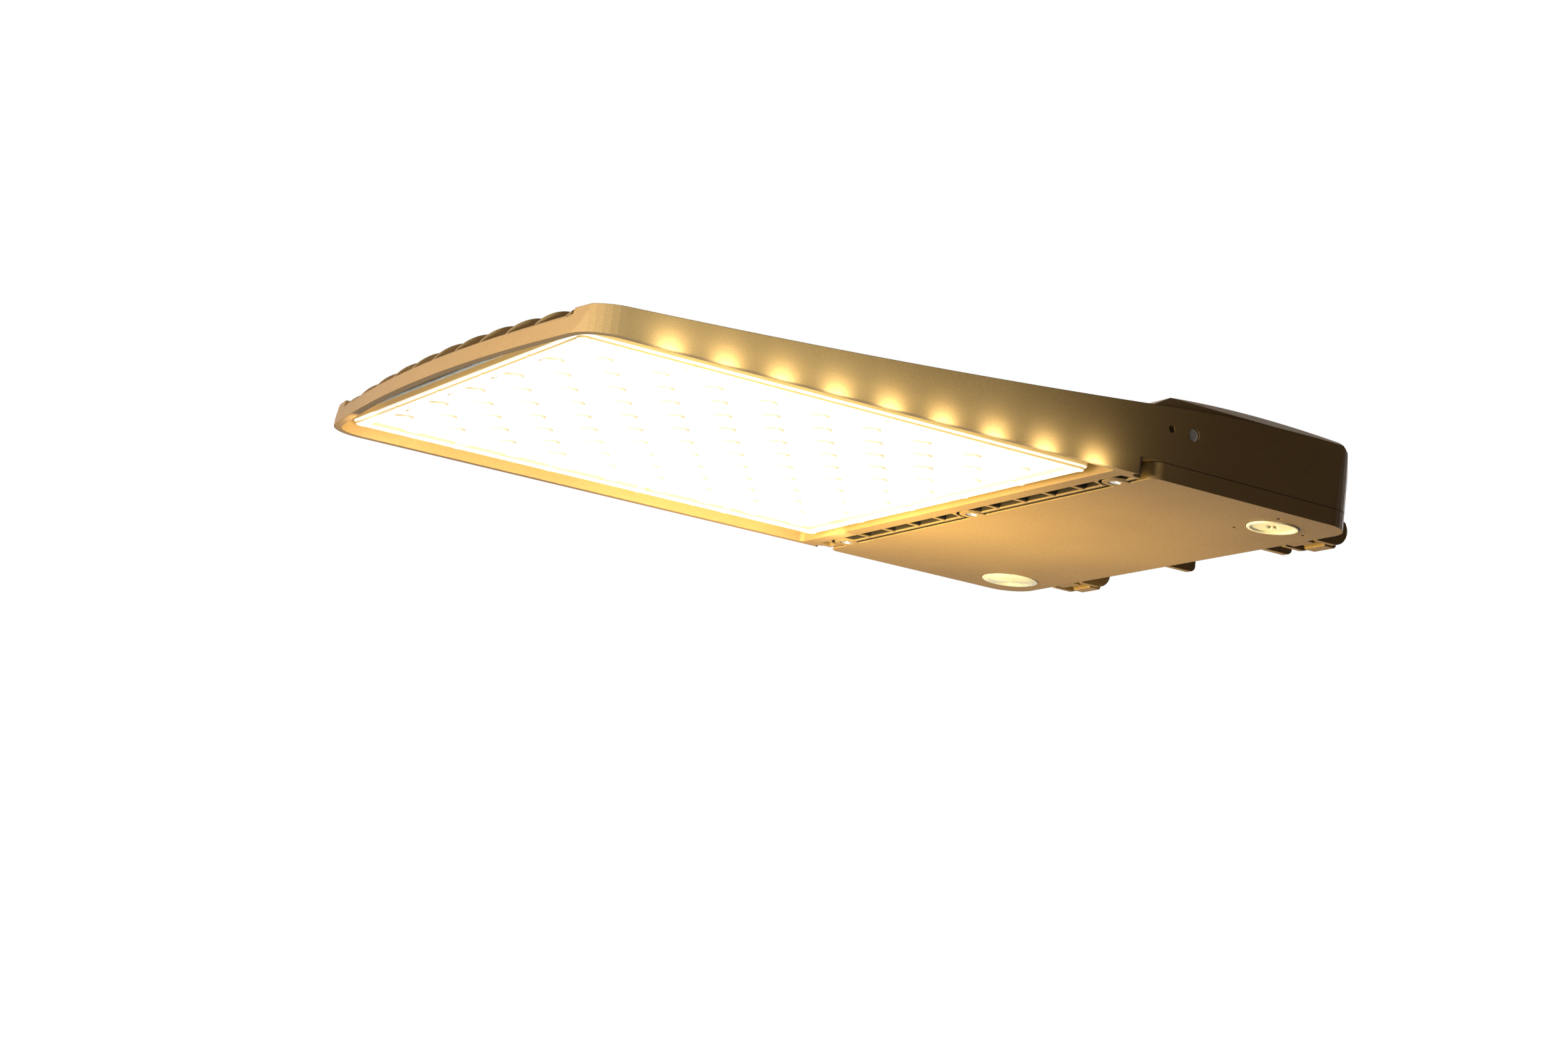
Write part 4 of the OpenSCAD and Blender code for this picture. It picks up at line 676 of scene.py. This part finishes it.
# %% Blanking plug
PLUG_X, PORT_Y = 128.5, 151.5
SHANK, SHANK_ROOT, SHANK_TOP, SHANK_PITCH = 12.0, 11.5, 13.6, 1.5
SHANK_THREAD_FROM, SHANK_THREAD_TO = 12.6, 4.2


def cross_ring(radius, half_arm, z, steps=48):
    """A ring of points on a plus sign, found by running out along each ray to the plus's edge."""
    ring = []
    for angle in angles(steps, 0.5):
        c, s = abs(math.cos(angle)), abs(math.sin(angle))
        reach = max(min(radius / max(c, s), half_arm / min(c, s)), half_arm)
        ring.append(Vector((reach * math.cos(angle), reach * math.sin(angle), z)) * MM)
    return ring


plug_profile = [(0.5, SHANK_TOP), (11.4, SHANK_TOP), (SHANK, 13.0)]
z = SHANK_THREAD_FROM
while z > SHANK_THREAD_TO:
    plug_profile += [(SHANK, z), (SHANK_ROOT, z - 0.5), (SHANK_ROOT, z - 0.8), (SHANK, z - 1.2)]
    z -= SHANK_PITCH
plug_profile += [(11.6, 3.0), (11.6, 0.62), (16.2, 0.6), (16.5, 0.3), (16.5, -0.6), (16.2, -1.0),
                 (14.6, -1.0), (14.0, -0.6), (13.4, 0.05), (6.0, 0.15), (5.6, 0.15)]
plug_mesh = bmesh.new()
lathe(plug_mesh, plug_profile, spot(PLUG_X, -PORT_Y, 0), 48,
      [cross_ring(4.6, 1.5, 0.15), cross_ring(4.4, 1.35, 1.6), cross_ring(0.8, 0.5, 1.7)])
control_plug = piece_from("control_plug_detailed", plug_mesh, "door", cream_gloss, 0.5)
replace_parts(control_plug, "control_plug")
print("plug box in mm:", [round(v / MM, 1) for v in control_plug.dimensions])

# %% [markdown]
# ## Sensor window
# The round window covers the motion sensor. It is a shallow moulded cap with a bevelled rim. The photograph
# shows nothing behind it, so the plastic is drawn milky and tan rather than water clear. The fine rings are
# a guess: flat moulded lenses often have them, to gather heat from all sides.

# %% Sensor window
SENSOR_X = 134.5
RING_PITCH, RING_RISE, DOME_LOW = 1.6, 0.05, -1.65
window_profile = [(0.4, 0.3), (16.0, 0.3), (16.6, 0.8), (19.7, 0.8), (20.0, 0.5), (20.0, -0.2), (19.6, -0.6),
                  (17.6, -0.9), (17.2, -1.2)]
radius, low = 16.4, -1.3
while radius > RING_PITCH:
    window_profile += [(radius, low), (radius - 1.1, low - 0.12), (radius - 1.25, low + 0.05)]
    radius -= RING_PITCH
    low = max(low - RING_RISE, DOME_LOW)
window_profile += [(0.4, -1.68)]
window_mesh = bmesh.new()
lathe(window_mesh, window_profile, spot(SENSOR_X, PORT_Y, 0), 56)
clear = Finish("clear_window", (0.44, 0.38, 0.26), 0.14, 0.0, Transmission_Weight=0.35, IOR=1.49)
smudge = clear.noise(10, 3.0)
clear.set("Roughness", smudge.ramp(0.3, 0.7, 0.1, 0.22))
clear.set("Base Color", clear.blend(smudge.ramp(0.3, 0.7), (0.46, 0.4, 0.28), (0.4, 0.34, 0.23)))
sensor_window = piece_from("sensor_window_detailed", window_mesh, "door", clear, 0.35)
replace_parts(sensor_window, "sensor_window")
print("window faces:", len(sensor_window.data.polygons))

# %% [markdown]
# ## Wires
# The wires inside keep the paths of the CAD model, but a round wire needs more than eight sides when the
# door is open. Each path is a list of points, swept with a circle that stays square to the path. PVC
# insulation is slightly glossy.

# %% Wire helpers


def at(x, y, z):
    return Vector((x, y, z))


def wire_curve(a, da, b, db, n=14):
    """A smooth run that leaves a along da, and reaches b from b + db, in drawing places."""
    points = []
    for i in range(n + 1):
        t = i / n
        points.append((1 - t) ** 3 * a + 3 * (1 - t) ** 2 * t * (a + da)
                      + 3 * (1 - t) * t * t * (b + db) + t ** 3 * b)
    return points


def across_to(a, b, reach, n):
    """A run between two pieces that face each other across Y, with a short straight stub at each end."""
    stub = at(0, 1.5, 0)
    return [a] + wire_curve(a + stub, at(0, reach, 0), b - stub, at(0, -reach, 0), n) + [b]


def sweep(mesh, points, radius=1.5, steps=14):
    places = [spot(*p) for p in points]
    side = None
    rings = []
    for i, place in enumerate(places):
        ahead = places[min(i + 1, len(places) - 1)] - places[max(i - 1, 0)]
        ahead.normalize()
        if side is None:
            side = ahead.orthogonal().normalized()
        side = (side - ahead * side.dot(ahead)).normalized()
        other = ahead.cross(side)
        rings.append([place + radius * MM * (math.cos(a) * side + math.sin(a) * other) for a in angles(steps)])
    loft(mesh, rings)


def insulated(name, colour):
    return moulded(name, colour, tuple(c * 0.85 for c in colour), 0.4, 0.8, 0.01, 0.0)


black_pvc = insulated("black_pvc", (0.03, 0.03, 0.03))
white_pvc = insulated("white_pvc", (0.85, 0.85, 0.82))
SMOOTH_WIRE = 1.2
print("wire helpers ready")

# %% [markdown]
# The driver's lead goes down the lane beside it, through the duct and down to the rear board. Two short
# wires go from the surge protector to the terminal block's side of the driver.

# %% Lead and surge wires
LEAD_START, LEAD_TURN, LEAD_LANE = at(50, 91, 20), at(21, 102, 22), at(15.5, 52.25, 18)
LEAD_DUCT = at(13.4, 47.25, 18)
LEAD_END = [at(-45.5, 47.25, 18), at(-49, 47.25, 17.4), at(-50.5, 47.25, 15.8), at(-50.5, 47.25, 8.4)]

lead_mesh = bmesh.new()
sweep(lead_mesh, [LEAD_START]
      + wire_curve(LEAD_START + at(0, 1.5, 0), at(0, 20, 0), LEAD_TURN, at(14, 2, 0))
      + wire_curve(LEAD_TURN, at(-8, -2, 0), LEAD_LANE, at(0, 20, 0))[1:]
      + wire_curve(LEAD_LANE, at(0, -3, 0), LEAD_DUCT, at(2, 0, 0), 4)[1:] + LEAD_END)
driver_lead = piece_from("driver_lead_round", lead_mesh, "fixture", insulated("red_pvc", (0.5, 0.05, 0.04)),
                         SMOOTH_WIRE)
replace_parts(driver_lead, "driver_lead")

surge_mesh = bmesh.new()
for k in (0, 1):
    sweep(surge_mesh, across_to(at(99 + 8 * k, -91, 30), at(101 + 7 * k, 35, 33), 38, 18))
surge_wires = piece_from("surge_wires_round", surge_mesh, "fixture", black_pvc, SMOOTH_WIRE)
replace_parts(surge_wires, "surge_wires")
print("faces of the lead and the surge wires:", len(driver_lead.data.polygons), len(surge_wires.data.polygons))

# %% [markdown]
# Two supply wires go from the terminal block round the back of the driver to its near end. They run one
# above the other, and the second swings out wider. The green wire earths the casting.

# %% Supply wires and earth wire
EARTH_RADIUS = 1.2
TERMINAL = at(95, 58, 34.5)
TERMINAL_PITCH = 46 / 3
LANE_X, LANE_Z, LANE_STEP = 85, 24, 4.5
for k, name, finish, slot in ((0, "supply_wire_black", black_pvc, "wire_black"),
                              (1, "supply_wire_white", white_pvc, "connector_white")):
    lane_z = LANE_Z - LANE_STEP * k
    start, side = TERMINAL + at(0, (k - 0.5) * TERMINAL_PITCH, 0), at(LANE_X, -2 - 6 * k, lane_z)
    behind, end = at(LANE_X, -144, lane_z), at(54 - 8 * k, -139, 20)
    mesh = bmesh.new()
    sweep(mesh, [start]
          + wire_curve(start - at(1.5, 0, 0), at(-7, -2, -2 - 8 * k), side, at(0, 26 + 22 * k, 0), 11)
          + wire_curve(side, at(0, -40, 0), behind, at(0, 40, 0), 4)[1:]
          + wire_curve(behind, at(0, -14 - 8 * k, 0), end - at(0, 1.5, 0), at(0, -20 - 8 * k, 0), 13)[1:]
          + [end])
    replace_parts(piece_from(name, mesh, "fixture", finish, SMOOTH_WIRE), "input_wires")

earth_mesh = bmesh.new()
sweep(earth_mesh, across_to(at(105, 81, 35), at(105, 100.5, 38.5), 5, 8), EARTH_RADIUS)
earth_wire = piece_from("earth_wire_round", earth_mesh, "fixture", insulated("green_pvc", (0.1, 0.4, 0.14)),
                        SMOOTH_WIRE)
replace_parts(earth_wire, "ground_wire")
print("faces of the earth wire:", len(earth_wire.data.polygons))

# %% [markdown]
# ## Background
# The photograph has a pure white ground with no floor in sight. The world is white where the camera looks
# straight at it, or sees it in metal or glass, and a dim warm grey as a light. Light Path tells those rays
# apart, so the white ground adds no light to the object.

# %% World
SOFT_COLOUR, SOFT_STRENGTH = (1.0, 0.88, 0.7, 1.0), 0.055
WHITE = (1.0, 1.0, 1.0, 1.0)


def seen_by(tree, *rays):
    """1 for the named kinds of ray, and 0 for all others."""
    kinds = [add_node(tree, "ShaderNodeLightPath", output=f"Is {ray} Ray") for ray in rays]
    return sum(kinds[1:], kinds[0]).least(1.0)


def mix_shaders(tree, factor, first, second):
    return add_node(tree, "ShaderNodeMixShader", None, {0: factor, 1: first, 2: second})


world = bpy.data.worlds.new("studio")
bpy.context.scene.world = world
world.use_nodes = True
tree = world.node_tree
tree.nodes.clear()
soft = add_node(tree, "ShaderNodeBackground", None, {"Color": SOFT_COLOUR, "Strength": SOFT_STRENGTH})
white = add_node(tree, "ShaderNodeBackground", None, {"Color": WHITE})
world_output = tree.nodes.new("ShaderNodeOutputWorld")
feed(tree, world_output.inputs["Surface"],
     mix_shaders(tree, seen_by(tree, "Camera", "Glossy", "Transmission"), soft, white))
print("world:", world.name)

# %% [markdown]
# A pale paper floor well below the light catches its shadow in the views from above. Part of it glows for the
# camera alone, which makes it nearly white. Its back is clear, so that a camera below the floor still sees
# the light.

# %% Floor
FLOOR_Z, FLOOR_SIZE, FLOOR_GLOW = -1.1, 30.0, 0.7
floor_mesh = bmesh.new()
bmesh.ops.create_grid(floor_mesh, x_segments=1, y_segments=1, size=FLOOR_SIZE)
floor_data = bpy.data.meshes.new("floor")
floor_mesh.to_mesh(floor_data)
floor_mesh.free()
floor = bpy.data.objects.new("floor", floor_data)
floor.location.z = FLOOR_Z
bpy.context.scene.collection.objects.link(floor)

paper = Finish("floor_paper", (0.93, 0.93, 0.93), 0.9, 0.0, Specular_IOR_Level=0.1)
paper.set("Base Color", paper.blend(paper.noise(20, 3.0), (0.92, 0.92, 0.92), (0.95, 0.95, 0.95)))
sheet = Wire(paper.tree, paper.shader.outputs[0])
top = mix_shaders(paper.tree, seen_by(paper.tree, "Camera", "Glossy") * FLOOR_GLOW, sheet,
                  paper.node("ShaderNodeEmission"))
from_below = paper.node("ShaderNodeNewGeometry", output="Backfacing")
feed(paper.tree, paper.tree.nodes["Material Output"].inputs["Surface"],
     mix_shaders(paper.tree, from_below, top, paper.node("ShaderNodeBsdfTransparent")))
paper.on(floor)
print("floor at", FLOOR_Z)

# %% [markdown]
# ## Lamps
# The lit optic throws warm light on all that is near it, which turns the underside of the door golden and the
# near wall pale towards the nose. Lamps stand for that glow: a golden one under the optic, a spot on the
# near wall, a row of small ones along its lower edge and two strips for the walls of the recess. The spot is
# cool, because the paint alone would turn a white one more orange than the photograph is. A neutral softbox
# in front makes the bright band along the nose, and gentle fills show the top and the back.

# %% Lamp helpers


def hang(name, data, place, target):
    lamp = bpy.data.objects.new(name, data)
    lamp.location = place
    lamp.rotation_euler = (Vector(target) - Vector(place)).to_track_quat("-Z", "Y").to_euler()
    bpy.context.scene.collection.objects.link(lamp)


def area_lamp(name, place, target, size, watts, colour, spread_angle=180):
    data = bpy.data.lights.new(name, "AREA")
    data.shape = "RECTANGLE"
    data.size, data.size_y = size
    data.energy = watts
    data.color = colour
    data.spread = math.radians(spread_angle)
    hang(name, data, place, target)


def spot_lamp(name, place, target, cone, watts, colour, radius=0.05):
    data = bpy.data.lights.new(name, "SPOT")
    data.spot_size, data.spot_blend = math.radians(cone), 1.0
    data.shadow_soft_size = radius
    data.energy = watts
    data.color = colour
    hang(name, data, place, target)


print("lamp helpers ready")

# %% Lamps
GOLDEN, STRAW = (1.0, 0.92, 0.42), (1.0, 0.92, 0.6)
NEUTRAL = (1.0, 0.98, 0.95)
GLOW_SPOTS, GLOW_FIRST_X = 9, -330.0
area_lamp("glow_below", (-0.36, 0.07, -0.2), (-0.1, 0.02, -0.03), (0.12, 0.3), 4.4, GOLDEN, 110)
spot_lamp("glow_near", (-0.8, -0.95, -0.3), (-0.49, -0.19, -0.02), 36, 125.0, (0.7, 0.9, 0.98))
for i in range(GLOW_SPOTS):
    x = GLOW_FIRST_X + 2 * LED_PITCH_X * i
    area_lamp(f"led_glow_{i}", spot(x, -197, -4), spot(x, -188, 26), (0.01, 0.01), 0.038, (0.9, 1.0, 0.85))
area_lamp("glow_far_wall", spot(-200, 130, -12), spot(-200, 186, 5), (0.36, 0.01), 1.2, STRAW)
area_lamp("glow_rear_wall", spot(-70, 0, -12), spot(-20, 0, 5), (0.32, 0.01), 0.25, (1.0, 0.9, 0.6))
area_lamp("softbox_nose", (-1.15, -0.15, -0.12), (-0.56, 0.0, -0.02), (0.5, 0.25), 27.0, (0.92, 0.95, 0.96))
area_lamp("fill_top", (-0.3, 0.35, 1.6), (-0.25, 0.0, 0.0), (1.2, 1.2), 24.0, NEUTRAL)
area_lamp("fill_rear", (1.4, 0.9, 0.7), (0.0, 0.0, 0.0), (1.2, 1.2), 14.0, NEUTRAL)
print("lamps:", len(bpy.data.lights))

# %% [markdown]
# ## View transform
# The view transform stays Standard, so that a colour renders as it is written.

# %% View transform
bpy.context.scene.view_settings.view_transform = "Standard"
bpy.context.view_layer.update()
